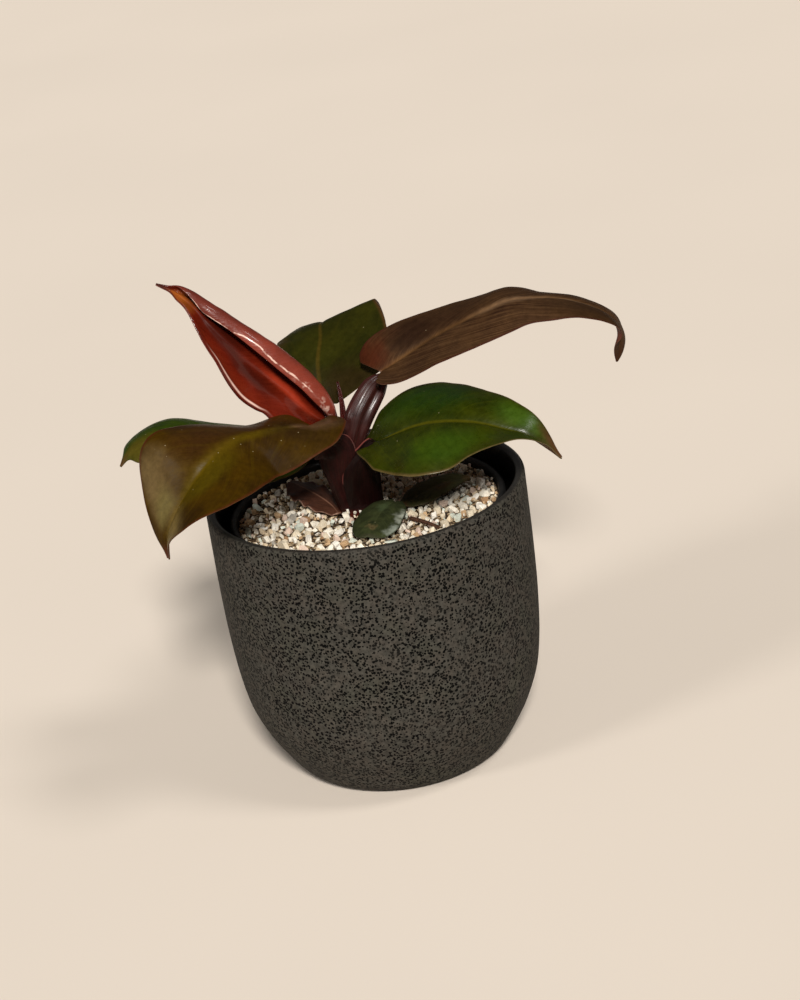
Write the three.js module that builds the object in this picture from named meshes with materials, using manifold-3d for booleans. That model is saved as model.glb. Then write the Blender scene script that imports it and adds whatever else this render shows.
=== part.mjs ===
// A young red philodendron in its black nursery pot, standing in a speckled stoneware planter.
// Millimetres, +Z up. The origin is the middle of the planter's flat foot.
// The leaves fan out along X; -Y is the side that the two front leaves hang over.

import * as THREE from "three";
import { mergeVertices } from "three/addons/utils/BufferGeometryUtils.js";
import Module from "manifold-3d";

const wasm = await Module();
wasm.setup();

// Driving dimensions of the planter
const PLANTER_HEIGHT = 124;
const PLANTER_RIM_RADIUS = 68;
const PLANTER_WALL = 4.3;
const PLANTER_FLOOR = 8;
const FOOT_RADIUS = 41.2;
const FOOT_EDGE = 1.5;
// The belly's outer radius as a share of the rim radius, at shares of the height
const PLANTER_BELLY = [
  [0.04, 0.706], [0.1, 0.779], [0.18, 0.86], [0.3, 0.938], [0.45, 0.975], [0.62, 0.993], [0.8, 0.999],
];

// Driving dimensions of the nursery pot and what fills it
const FIT_GAP = 0.35;
const NURSERY_TOP = 116.5;
const NURSERY_RIM_RADIUS = 58.9;
const NURSERY_BASE_RADIUS = 43;
const NURSERY_WALL = 1.6;
const NURSERY_RIM_DEPTH = 6;
const NURSERY_RIM_PROUD = 1.2;
const DRAIN_HOLES = 6;
const DRAIN_HOLE_RADIUS = 4;
const DRAIN_CIRCLE_RADIUS = 30;
const SOIL_TOP = 107;
const GRIT_TOP = 114.2;
const GRIT_MOUND = 1.2;
const GRIT_RELIEF = 0.9;
const FINE_RIPPLE = { x: 0.9, y: 0.8, phase: 2 };
const COARSE_RIPPLE = { x: 0.35, y: 0.5 };
const PEBBLE_COUNT = 150;
const PEBBLE_RADIUS = [2.2, 3.9];
const PEBBLE_FLATTEST = { y: 0.75, z: 0.6 };
const PEBBLE_SINK = 0.2;
const PEBBLE_STRAY = 1;
const PEBBLE_CLEAR_OF_STEM = 5;
const PEBBLE_CLEAR_OF_RIM = 0.6;

// Driving dimensions of the plant
const CROWN_CENTRE = new THREE.Vector2(-2.5, -4);
const CROWN_RADIUS = 9.4;
const CROWN_FOOT = 96;
const BLADE_THICKNESS = 0.8;
const BLADE_GAP = 0.5;
const BLADE_ROWS = 20;
// Rows crowd towards the stalk, where the lobes turn fastest
const ROW_CROWDING = 1.3;
const BLADE_COLUMNS = 8;
const SMALL_BLADE_ROWS = 10;
const SMALL_BLADE_COLUMNS = 6;
const STALK_SIDES = 12;
const STALK_RINGS = 10;

// Cross section of the shoulder and the hollow beside it: place and reach as shares of the half width
const SHOULDER = { place: 0.25, reach: 0.15 };
const HOLLOW = { place: 0.62, reach: 0.22, depth: 0.55 };

const ROUND_SEGMENTS = 48;
const COLLAR_SEGMENTS = 20;
const GRIT_SEGMENTS = 30;
const GRIT_RINGS = 4;
const HOLE_SEGMENTS = 12;
const PROFILE_STEPS = 11;
const LIP_STEPS = 4;
// Profile stations crowd towards the foot, where the belly turns fastest
const PROFILE_CROWDING = 1.4;
const WELD_DISTANCE = 1e-4;
const SEED = 7;

const FINISHES = {
  stoneware: { color: 0x3d3b39, roughness: 0.8 },
  blackPlastic: { color: 0x17181a, roughness: 0.45 },
  soil: { color: 0x33261d, roughness: 0.95 },
  grit: { color: 0xd9cdb9, roughness: 0.9 },
  wine: { color: 0x45161c, roughness: 0.35 },
  olive: { color: 0x4d4420, roughness: 0.4 },
  bronze: { color: 0x4c2f20, roughness: 0.4 },
  green: { color: 0x2c4a16, roughness: 0.4 },
  red: { color: 0x7d2417, roughness: 0.3 },
  dryBrown: { color: 0x4a2a22, roughness: 0.7 },
  darkGreen: { color: 0x27301d, roughness: 0.5 },
};

// Leaves
// midrib: points from the stalk to the tip. face: the way the upper side looks, at shares of the length.
// width: half width. sweep: degrees that the veins lean towards the tip.
// left and right: each half's fold at the midrib and its curl across the width, in degrees.
// rightScale: the right half's width against the left's. ridge: height of the left half's swollen shoulder.
const LEAVES = {
  leaf_long_right: {
    finish: "bronze",
    midrib: [
      [13.5, 0, 173.5], [19.5, 0, 176], [31, 0, 182], [42, -2, 187.5], [57, -4, 193.5],
      [68.5, -5, 197.5], [79.5, -6, 197.5], [94, -8, 195.5], [108, -9, 188.5], [114, -9, 180],
      [111, -10, 166],
    ],
    face: [[0, 0.15, -0.4, 0.22], [0.5, 0.66, -0.25, 0.78], [0.85, 0.41, -0.12, 0.71], [1, 0.9, -0.4, 0.3]],
    width: [
      [0, 12], [0.03, 17], [0.08, 19], [0.18, 18], [0.3, 19], [0.55, 18.5], [0.8, 11], [0.93, 4],
      [1, 0.5],
    ],
    rightScale: [[0, 0.72], [0.1, 0.8], [0.25, 1.04], [1, 0.96]],
    sweep: [[0, -41], [0.05, -33], [0.12, -21], [0.3, 9], [0.6, 36], [1, 45]],
    left: { fold: [[0, -23], [0.12, -8], [0.5, -8], [1, 8]], curl: [[0, -25], [0.5, -29], [1, -8]] },
    right: { fold: [[0, 48], [0.12, 35], [0.5, 5], [1, 8]], curl: [[0, 22], [0.5, -26], [1, -6]] },
  },
  leaf_front_right: {
    finish: "green",
    midrib: [
      [8, -15.5, 149], [12.5, -18, 151], [23.5, -22, 155.5], [32.5, -26, 157.5], [42, -30, 158],
      [52, -33, 156.5], [62, -36, 153], [70, -38, 150], [81.5, -38, 138.5],
    ],
    face: [[0, -0.26, -0.37, 0.54], [0.5, 0.58, -0.55, 0.61], [1, 0.53, -0.32, 0.96]],
    width: [[0, 7.5], [0.05, 11], [0.12, 19], [0.35, 28], [0.6, 20], [0.85, 7], [0.95, 2.4], [1, 0.8]],
    rightScale: [[0, 1.3], [0.1, 1.08], [0.25, 1.08], [1, 0.98]],
    sweep: [[0, -67], [0.1, -29], [0.3, -9], [0.6, -7], [1, 19]],
    left: { fold: [[0, -1], [0.15, -6], [0.5, 0], [0.9, 30], [1, 5]], curl: [[0, -6], [0.5, -24], [1, 9]] },
    right: { fold: [[0, 14], [0.15, 18], [0.5, 4], [0.9, 38], [1, 5]], curl: [[0, 5], [0.5, -12], [1, 12]] },
  },
  leaf_front_left: {
    finish: "olive",
    midrib: [
      [-20, -22, 162], [-21, -23.5, 163], [-28, -27, 165], [-38, -31, 166], [-46.5, -35, 167],
      [-54, -40, 165], [-60.5, -45, 161], [-69, -49.5, 153.5], [-75.5, -52, 145.5], [-80.5, -53, 137],
      [-82, -52, 126],
    ],
    face: [
      [0, -0.15, -0.18, 0.96], [0.25, 0.14, -0.35, 0.85], [0.5, -0.08, -0.54, 0.55],
      [0.75, -0.74, -0.55, 0.19], [1, -0.67, -0.41, 0.3],
    ],
    width: [
      [0, 17], [0.04, 19], [0.1, 21.5], [0.2, 22], [0.35, 23.5], [0.6, 28], [0.85, 8.5], [0.95, 3],
      [1, 0.8],
    ],
    rightScale: [[0, 0.5], [0.1, 0.64], [0.25, 1.02], [1, 1.12]],
    sweep: [[0, -62], [0.035, -62], [0.07, -47], [0.2, -33], [0.45, -4], [0.7, 10], [0.9, 30], [1, 20]],
    left: {
      fold: [[0, 20], [0.12, -4], [0.3, -10], [0.6, 26], [0.9, 24], [1, 8]],
      curl: [[0, 8], [0.5, -17], [1, 8]],
    },
    right: {
      fold: [[0, -6], [0.12, -2], [0.3, -23], [0.6, 16], [0.9, 14], [1, 6]],
      curl: [[0, -10], [0.5, -28], [1, 3]],
    },
  },
  leaf_back_left: {
    finish: "green",
    midrib: [
      [-24, 5.5, 144.5], [-34, 7, 146.5], [-45, 9, 148.5], [-61.5, 11, 153], [-75.5, 11, 157],
      [-87, 10, 156.5], [-95.5, 8, 153], [-100.5, 6, 146.5],
    ],
    face: [[0, 0, -0.42, 0.83], [0.4, 0.07, -0.42, 0.79], [0.8, -0.51, -0.37, 0.8], [1, -0.7, -0.55, 0.46]],
    width: [[0, 8], [0.1, 17], [0.35, 24], [0.6, 21], [0.83, 11], [0.94, 2.5], [1, 0.5]],
    sweep: [[0, -50], [0.12, -10], [0.4, 12], [0.7, 24], [1, 42]],
    left: { fold: [[0, 1], [0.3, -15], [0.6, -11], [1, -6]], curl: [[0, -11], [0.5, -19], [1, -13.5]] },
    right: { fold: [[0, 0], [0.3, -20], [0.6, -15], [1, -3]], curl: [[0, -10.5], [0.5, -38], [1, -15]] },
  },
  leaf_back: {
    finish: "green",
    midrib: [
      [-10.5, 14, 157.5], [-12.5, 19, 165.5], [-12, 27, 173.5], [-9.5, 37, 179.5], [-9, 49, 182],
      [-5.5, 63, 176.5], [0, 79, 162], [3, 92, 140],
    ],
    face: [[0, -0.13, -1, 0.23], [0.4, -0.26, -0.25, 0.76], [0.7, 0.1, 0.21, 0.8], [1, -0.3, 0.8, 0.5]],
    width: [[0, 3.5], [0.05, 12], [0.12, 26], [0.35, 25.5], [0.6, 23.5], [0.83, 11], [0.94, 3], [1, 0.5]],
    rightScale: [[0, 1.22], [0.5, 1.06], [0.7, 0.98], [1, 0.8]],
    sweep: [[0, -24], [0.12, -1], [0.4, 28], [0.7, 25], [1, 40]],
    left: { fold: [[0, -2], [0.3, 1], [0.6, 17], [1, 0]], curl: [[0, -13], [0.5, -28], [1, -10]] },
    right: { fold: [[0, 20], [0.3, -9], [0.6, 16], [1, 0]], curl: [[0, 0], [0.5, -8], [1, -12]] },
  },
  leaf_new_red: {
    finish: "red",
    columns: 14,
    midrib: [
      [-11.5, -1, 157.9], [-17.5, -1, 167.4], [-22.5, 0, 175.4], [-34, 0, 188.4], [-41, 1, 195.4],
      [-49.5, 2, 204.4], [-56, 3, 212.9], [-61, 3, 217.9], [-66, 4, 220.4], [-72, 4, 223.9],
    ],
    face: [[0, 0.24, -0.9, 0.23], [0.5, 0.17, -0.93, 0.21], [1, 0.2, -0.92, 0.23]],
    width: [
      [0, 8.5], [0.05, 15], [0.15, 19.5], [0.35, 21], [0.6, 17.5], [0.75, 12], [0.88, 7], [0.95, 2.4],
      [1, 0.8],
    ],
    rightScale: [[0, 1.08], [0.35, 1], [0.6, 0.92], [0.75, 1.06], [0.9, 1.1], [1, 1]],
    sweep: [[0, -46], [0.06, -22], [0.15, 11], [0.4, 7], [0.7, 11], [1, 15]],
    ridge: [[0, 1.5], [0.15, 2.8], [0.5, 2.5], [0.8, 1], [1, 0]],
    left: { fold: [[0, 8], [0.3, 8], [0.6, 37], [0.88, 44], [1, 10]], curl: [[0, -3], [0.5, 11], [1, 24]] },
    right: {
      fold: [[0, -22], [0.3, -10], [0.6, -14], [0.85, 8], [1, 3]],
      curl: [[0, 226], [0.5, 208], [0.75, 206], [0.86, 150], [0.94, 40], [1, 0]],
    },
  },
};

// Small pieces that lie on the grit
const LOW_LEAVES = {
  small_leaf_front: {
    finish: "darkGreen",
    midrib: [[12, -13, 120.2], [8, -19, 121], [4, -26.5, 120.4], [1, -33.5, 118.8], [-1.5, -39, 117]],
    face: [[0, 0.1, -0.3, 1], [1, -0.1, -0.2, 1]],
    width: [[0, 3], [0.25, 9], [0.6, 11], [0.88, 7.5], [1, 1.5]],
    sweep: [[0, -30], [0.5, 8], [1, 35]],
    left: { fold: [[0, 8], [1, -6]], curl: [[0, -12], [1, -22]] },
    right: { fold: [[0, -4], [1, -10]], curl: [[0, -16], [1, -20]] },
  },
  small_leaf_right: {
    finish: "dryBrown",
    midrib: [[45, 3, 119.5], [38, 1.5, 120.3], [30, -1.5, 119.8], [22, -5.5, 118.4], [15, -9.5, 116.4]],
    face: [[0, 0, -0.25, 1], [1, 0, -0.25, 1]],
    width: [[0, 1.2], [0.3, 6.5], [0.6, 7.8], [0.85, 5], [1, 0.8]],
    sweep: [[0, 5], [1, 30]],
    left: { fold: [[0, 5], [1, 5]], curl: [[0, -20], [1, -20]] },
    right: { fold: [[0, 2], [1, 2]], curl: [[0, -15], [1, -15]] },
  },
  dry_bract: {
    finish: "dryBrown",
    midrib: [[-12.6, -7, 116.6], [-15.5, -1, 118.6], [-20, 6.5, 120], [-26, 14.5, 121.4], [-32, 22, 122]],
    face: [[0, 0.4, -0.6, 0.8], [1, 0.3, -0.5, 0.9]],
    width: [[0, 3], [0.3, 8.5], [0.65, 9], [0.9, 4], [1, 0.9]],
    sweep: [[0, 0], [1, 30]],
    left: { fold: [[0, -35], [0.85, -25], [1, -4]], curl: [[0, 20], [0.5, 45], [1, 10]] },
    right: { fold: [[0, -30], [0.85, -25], [1, -4]], curl: [[0, 10], [0.5, 30], [1, 10]] },
  },
};

// Stalks
// path: points from the crown up to the blade. width and depth: half sizes along the stalk.
// face: the way the stalk's broad side looks.
const STALKS = [
  {
    path: [
      [-4, -3, 112], [-5, -4, 126], [-5.5, -4.5, 137], [-2.2, -4, 146], [2, -3.5, 156], [7.4, -2.5, 165],
      [12.2, -1, 172],
    ],
    face: [0.2, -0.9, 0.3],
    width: [[0, 5], [0.5, 5.2], [0.78, 6.2], [0.92, 5.4], [1, 4.2]],
    depth: [[0, 4.5], [0.6, 4.4], [0.85, 3.2], [1, 1.4]],
  },
  {
    path: [
      [-5, -6, 112], [-8, -7.5, 123], [-9.5, -9, 132], [-9.6, -11, 140], [-9.4, -13, 146], [-13, -16, 152],
      [-16, -18.6, 157], [-17.6, -20, 159.2],
    ],
    face: [-0.2, -1, 0.2],
    width: [[0, 4.5], [0.35, 4.6], [0.55, 7], [0.72, 8.6], [0.86, 5], [1, 3]],
    depth: [[0, 4], [0.5, 3.2], [0.8, 2.4], [1, 1.4]],
  },
  {
    path: [
      [-1, -6, 112], [-1, -8.5, 122], [-0.5, -10.5, 131], [0.5, -12.5, 138.5], [4, -14.5, 145.5],
      [7, -15.5, 148.5],
    ],
    face: [0.1, -1, 0.1],
    width: [[0, 8.2], [0.5, 8], [0.72, 6.4], [0.88, 3.6], [1, 2.6]],
    depth: [[0, 4], [0.6, 3.4], [1, 1.8]],
  },
  {
    path: [
      [-5, -3, 112], [-9, -2.5, 124], [-11, -1, 134], [-14, 2.5, 141], [-19, 4.5, 143.5], [-25, 5.6, 144],
    ],
    face: [-0.2, -0.7, 0.7],
    width: [[0, 4.5], [0.5, 4], [1, 3]],
    depth: [[0, 4], [0.5, 3], [1, 1.8]],
  },
  {
    path: [[-5, -2, 112], [-7.5, -1.4, 129], [-9, -0.2, 145], [-11.2, -0.7, 156.9]],
    face: [0, -1, 0.1],
    width: [[0, 4], [0.6, 3.4], [1, 3]],
    depth: [[0, 4], [0.6, 3], [1, 1.8]],
  },
  {
    path: [[-3, -1, 112], [-7.5, 1, 127], [-9.5, 7, 143], [-10.5, 13, 156]],
    face: [0, -1, 0.3],
    width: [[0, 4.5], [0.6, 4], [1, 3]],
    depth: [[0, 4], [0.6, 3], [1, 1.8]],
  },
  {
    path: [[-5, -1, 136], [-4.8, -0.5, 148], [-4.3, 0.5, 157], [-4.2, 2, 164], [-4.7, 4, 170.4]],
    face: [0, -1, 0.3],
    width: [[0, 2.4], [0.5, 1.5], [1, 0.4]],
    depth: [[0, 2.2], [0.5, 1.3], [1, 0.4]],
  },
];

const TWIG = { path: [[17, -25, 116.4], [22, -31, 116.8], [28, -38, 116.1]], radius: 0.9, tipShare: 0.8 };
const TWIG_RINGS = 4;
const TWIG_SIDES = 8;

// A smooth value between stations [share, value], with no overshoot
function keyed(share, stations) {
  const last = stations.length - 1;
  const slope = (i) => (stations[i + 1][1] - stations[i][1]) / (stations[i + 1][0] - stations[i][0]);
  const tangent = (i) => {
    if (i === 0) return slope(0);
    if (i === last) return slope(last - 1);
    const product = slope(i - 1) * slope(i);
    return product > 0 ? (2 * product) / (slope(i - 1) + slope(i)) : 0;
  };
  let i = 0;
  while (i < last - 1 && share > stations[i + 1][0]) {
    i += 1;
  }
  const span = stations[i + 1][0] - stations[i][0];
  const t = THREE.MathUtils.clamp((share - stations[i][0]) / span, 0, 1);
  const rise = tangent(i) * span * t * (1 - t) ** 2 + tangent(i + 1) * span * t * t * (t - 1);
  return stations[i][1] * (1 + 2 * t) * (1 - t) ** 2 + stations[i + 1][1] * t * t * (3 - 2 * t) + rise;
}

function curveThrough(points) {
  const corners = points.map((p) => new THREE.Vector3(...p));
  return new THREE.CatmullRomCurve3(corners, false, "catmullrom", 0.5);
}

// Point, forward, face and side directions at a share of a curve
function frameAt(curve, share, face) {
  const forward = curve.getTangentAt(share);
  const up = face.clone().addScaledVector(forward, -face.dot(forward)).normalize();
  const side = forward.clone().cross(up);
  return { point: curve.getPointAt(share), forward, up, side };
}

function shoulderHeight(reach) {
  const swell = Math.exp(-(((reach - SHOULDER.place) / SHOULDER.reach) ** 2));
  return swell - HOLLOW.depth * Math.exp(-(((reach - HOLLOW.place) / HOLLOW.reach) ** 2));
}

// The blade's middle surface: u runs from stalk to tip, v from the left margin (-1) to the right (+1)
function bladePoint(leaf, curve, u, v, grow) {
  const face = new THREE.Vector3(...[1, 2, 3].map((k) => keyed(u, leaf.face.map((s) => [s[0], s[k]]))));
  const { point, forward, up, side } = frameAt(curve, u, face);
  const half = v < 0 ? leaf.left : leaf.right;
  const scale = v > 0 && leaf.rightScale ? keyed(u, leaf.rightScale) : 1;
  const width = keyed(u, leaf.width) * scale + grow;
  const sweep = THREE.MathUtils.degToRad(keyed(u, leaf.sweep));
  const fold = THREE.MathUtils.degToRad(keyed(u, half.fold));
  const curl = THREE.MathUtils.degToRad(keyed(u, half.curl)) || 1e-4;
  const turned = fold + curl * Math.abs(v);
  const out = (width * (Math.sin(turned) - Math.sin(fold))) / curl;
  let rise = (width * (Math.cos(fold) - Math.cos(turned))) / curl;
  if (v < 0 && leaf.ridge) {
    rise += keyed(u, leaf.ridge) * (shoulderHeight(-v) - shoulderHeight(0));
  }
  const across = side.multiplyScalar(Math.sign(v) * Math.cos(sweep));
  across.addScaledVector(forward, Math.sin(sweep));
  return point.addScaledVector(across, out).addScaledVector(up, rise);
}

// A closed sheet of even thickness round a grid of middle points, with the same diagonals on both faces
function closedSheet(grid, thickness) {
  const rows = grid.length;
  const columns = grid[0].length;
  const clampRow = (i) => Math.min(Math.max(i, 0), rows - 1);
  const clampColumn = (j) => Math.min(Math.max(j, 0), columns - 1);
  const positions = [];
  for (const sign of [1, -1]) {
    for (let i = 0; i < rows; i += 1) {
      for (let j = 0; j < columns; j += 1) {
        const along = grid[clampRow(i + 1)][j].clone().sub(grid[clampRow(i - 1)][j]);
        const across = grid[i][clampColumn(j + 1)].clone().sub(grid[i][clampColumn(j - 1)]);
        const normal = along.cross(across).normalize();
        const place = grid[i][j].clone().addScaledVector(normal, (sign * thickness) / 2);
        positions.push(place.x, place.y, place.z);
      }
    }
  }
  const under = rows * columns;
  const index = [];
  for (let i = 0; i < rows - 1; i += 1) {
    for (let j = 0; j < columns - 1; j += 1) {
      const a = i * columns + j;
      const b = a + 1;
      const c = a + columns;
      const d = c + 1;
      index.push(a, c, d, a, d, b);
      index.push(under + a, under + d, under + c, under + a, under + b, under + d);
    }
  }
  const rim = [];
  for (let j = 0; j < columns - 1; j += 1) {
    rim.push(j);
  }
  for (let i = 0; i < rows - 1; i += 1) {
    rim.push(i * columns + columns - 1);
  }
  for (let j = columns - 1; j > 0; j -= 1) {
    rim.push((rows - 1) * columns + j);
  }
  for (let i = rows - 1; i > 0; i -= 1) {
    rim.push(i * columns);
  }
  rim.forEach((a, k) => {
    const b = rim[(k + 1) % rim.length];
    index.push(a, b, under + b, a, under + b, under + a);
  });
  return indexed(positions, index);
}

function indexed(positions, index) {
  const geometry = new THREE.BufferGeometry();
  geometry.setAttribute("position", new THREE.Float32BufferAttribute(positions, 3));
  geometry.setIndex(index);
  return geometry;
}

function bladeGeometry(leaf, rows, columns, grow = 0) {
  const curve = curveThrough(leaf.midrib);
  const grid = [];
  for (let i = 0; i <= rows; i += 1) {
    const row = [];
    for (let j = 0; j <= columns; j += 1) {
      row.push(bladePoint(leaf, curve, (i / rows) ** ROW_CROWDING, (2 * j) / columns - 1, grow));
    }
    grid.push(row);
  }
  if (grow > 0) {
    extendEnds(grid, grow);
  }
  return closedSheet(grid, BLADE_THICKNESS + 2 * grow);
}

// Pushes the first and last rows outwards, so that a grown copy also clears the blade's ends
function extendEnds(grid, grow) {
  const push = (row, inner) => {
    row.forEach((p, j) => p.add(p.clone().sub(inner[j]).setLength(grow)));
  };
  push(grid[0], grid[1]);
  push(grid[grid.length - 1], grid[grid.length - 2]);
}

// A stalk with an oval section that changes along its path
function stalkGeometry(stalk, rings, sides) {
  const curve = curveThrough(stalk.path);
  const face = new THREE.Vector3(...stalk.face);
  const positions = [];
  for (let i = 0; i <= rings; i += 1) {
    const share = i / rings;
    const { point, up, side } = frameAt(curve, share, face);
    for (let k = 0; k < sides; k += 1) {
      const angle = (2 * Math.PI * k) / sides;
      const place = point.clone();
      place.addScaledVector(side, Math.cos(angle) * keyed(share, stalk.width));
      place.addScaledVector(up, Math.sin(angle) * keyed(share, stalk.depth));
      positions.push(place.x, place.y, place.z);
    }
  }
  const index = [];
  for (let i = 0; i < rings; i += 1) {
    for (let k = 0; k < sides; k += 1) {
      const a = i * sides + k;
      const b = i * sides + ((k + 1) % sides);
      index.push(a, a + sides, b + sides, a, b + sides, b);
    }
  }
  const top = rings * sides;
  for (let k = 1; k < sides - 1; k += 1) {
    index.push(0, k, k + 1);
    index.push(top, top + k + 1, top + k);
  }
  return indexed(positions, index);
}

function toSolid(geometry) {
  const bare = geometry.clone();
  bare.deleteAttribute("normal");
  bare.deleteAttribute("uv");
  const merged = mergeVertices(bare, WELD_DISTANCE);
  return new wasm.Manifold(new wasm.Mesh({
    numProp: 3,
    vertProperties: new Float32Array(merged.attributes.position.array),
    triVerts: new Uint32Array(merged.index.array),
  }));
}

function toGeometry(solid) {
  const { vertProperties, triVerts } = solid.getMesh();
  return indexed(Array.from(vertProperties), Array.from(triVerts));
}

function lathe(profile, segments = ROUND_SEGMENTS) {
  const points = profile.map(([radius, z]) => new THREE.Vector2(radius, z));
  return new THREE.LatheGeometry(points, segments).rotateX(Math.PI / 2);
}

function cylinder(radius, bottom, top, x, y, segments) {
  const geometry = new THREE.CylinderGeometry(radius, radius, top - bottom, segments);
  return geometry.rotateX(Math.PI / 2).translate(x, y, (bottom + top) / 2);
}

function planterOuterRadius(z) {
  const stations = [[0, FOOT_RADIUS + FOOT_EDGE]];
  PLANTER_BELLY.forEach(([h, share]) => stations.push([h * PLANTER_HEIGHT, share * PLANTER_RIM_RADIUS]));
  stations.push([PLANTER_HEIGHT, PLANTER_RIM_RADIUS]);
  return keyed(z, stations);
}

// The planter: a round bellied pot with a flat foot, an even wall and a rounded lip
function planterGeometry() {
  const lip = PLANTER_WALL / 2;
  const station = (i, bottom) => {
    return THREE.MathUtils.lerp(bottom, PLANTER_HEIGHT - lip, (i / PROFILE_STEPS) ** PROFILE_CROWDING);
  };
  const profile = [[0, 0], [FOOT_RADIUS, 0]];
  for (let i = 0; i <= PROFILE_STEPS; i += 1) {
    const z = station(i, FOOT_EDGE);
    profile.push([planterOuterRadius(z), z]);
  }
  for (let i = 1; i < LIP_STEPS; i += 1) {
    const angle = (Math.PI * i) / LIP_STEPS;
    const centre = PLANTER_RIM_RADIUS - lip;
    profile.push([centre + lip * Math.cos(angle), PLANTER_HEIGHT - lip + lip * Math.sin(angle)]);
  }
  for (let i = PROFILE_STEPS; i >= 0; i -= 1) {
    const z = station(i, PLANTER_FLOOR);
    profile.push([planterOuterRadius(z) - PLANTER_WALL, z]);
  }
  profile.push([0, PLANTER_FLOOR]);
  return lathe(profile);
}

const NURSERY_FOOT = PLANTER_FLOOR + FIT_GAP;
const NURSERY_INSIDE_FLOOR = NURSERY_FOOT + NURSERY_WALL;

function nurseryInnerRadius(z) {
  const top = NURSERY_RIM_RADIUS - NURSERY_RIM_PROUD - NURSERY_WALL;
  const share = (z - NURSERY_INSIDE_FLOOR) / (NURSERY_TOP - NURSERY_INSIDE_FLOOR);
  return THREE.MathUtils.lerp(NURSERY_BASE_RADIUS - NURSERY_WALL, top, share);
}

// The nursery pot: a thin tapered tub with a thicker rim band and drain holes
function nurseryPotGeometry() {
  const band = NURSERY_TOP - NURSERY_RIM_DEPTH;
  const profile = [
    [0, NURSERY_FOOT],
    [NURSERY_BASE_RADIUS, NURSERY_FOOT],
    [nurseryInnerRadius(band) + NURSERY_WALL, band],
    [NURSERY_RIM_RADIUS, band],
    [NURSERY_RIM_RADIUS, NURSERY_TOP],
    [nurseryInnerRadius(NURSERY_TOP), NURSERY_TOP],
    [nurseryInnerRadius(NURSERY_INSIDE_FLOOR), NURSERY_INSIDE_FLOOR],
    [0, NURSERY_INSIDE_FLOOR],
  ];
  let tub = toSolid(lathe(profile));
  for (let i = 0; i < DRAIN_HOLES; i += 1) {
    const angle = (2 * Math.PI * i) / DRAIN_HOLES;
    const x = DRAIN_CIRCLE_RADIUS * Math.cos(angle);
    const y = DRAIN_CIRCLE_RADIUS * Math.sin(angle);
    const hole = cylinder(DRAIN_HOLE_RADIUS, NURSERY_FOOT - 1, NURSERY_INSIDE_FLOOR + 1, x, y, HOLE_SEGMENTS);
    tub = tub.subtract(toSolid(hole));
  }
  return toGeometry(tub);
}

const STEM_HOLE_TOP = NURSERY_TOP + 10;
const stemHole = toSolid(cylinder(
  CROWN_RADIUS + FIT_GAP, CROWN_FOOT - FIT_GAP, STEM_HOLE_TOP,
  CROWN_CENTRE.x, CROWN_CENTRE.y, COLLAR_SEGMENTS,
));

// The potting mix: it fills the nursery pot and holds the buried neck of the plant
function pottingMixGeometry() {
  const foot = NURSERY_INSIDE_FLOOR + FIT_GAP;
  const mix = lathe([
    [0, foot],
    [nurseryInnerRadius(foot) - FIT_GAP, foot],
    [nurseryInnerRadius(SOIL_TOP) - FIT_GAP, SOIL_TOP],
    [0, SOIL_TOP],
  ]);
  return toGeometry(toSolid(mix).subtract(stemHole));
}

// A repeatable stream of numbers from 0 to 1
function randomStream(seed) {
  let state = seed;
  return () => {
    state = (state * 1664525 + 1013904223) % 4294967296;
    return state / 4294967296;
  };
}

// Height of the grit's mean surface: a low mound with fine and coarse ripples, in radians per millimetre
function gritHeight(x, y) {
  const radius = Math.hypot(x, y) / NURSERY_RIM_RADIUS;
  const fine = Math.sin(x * FINE_RIPPLE.x + FINE_RIPPLE.phase) * Math.cos(y * FINE_RIPPLE.y);
  const ripple = fine + Math.sin(x * COARSE_RIPPLE.x - y * COARSE_RIPPLE.y);
  return GRIT_TOP + GRIT_MOUND * (1 - radius * radius) + (GRIT_RELIEF * ripple) / 2;
}

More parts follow.
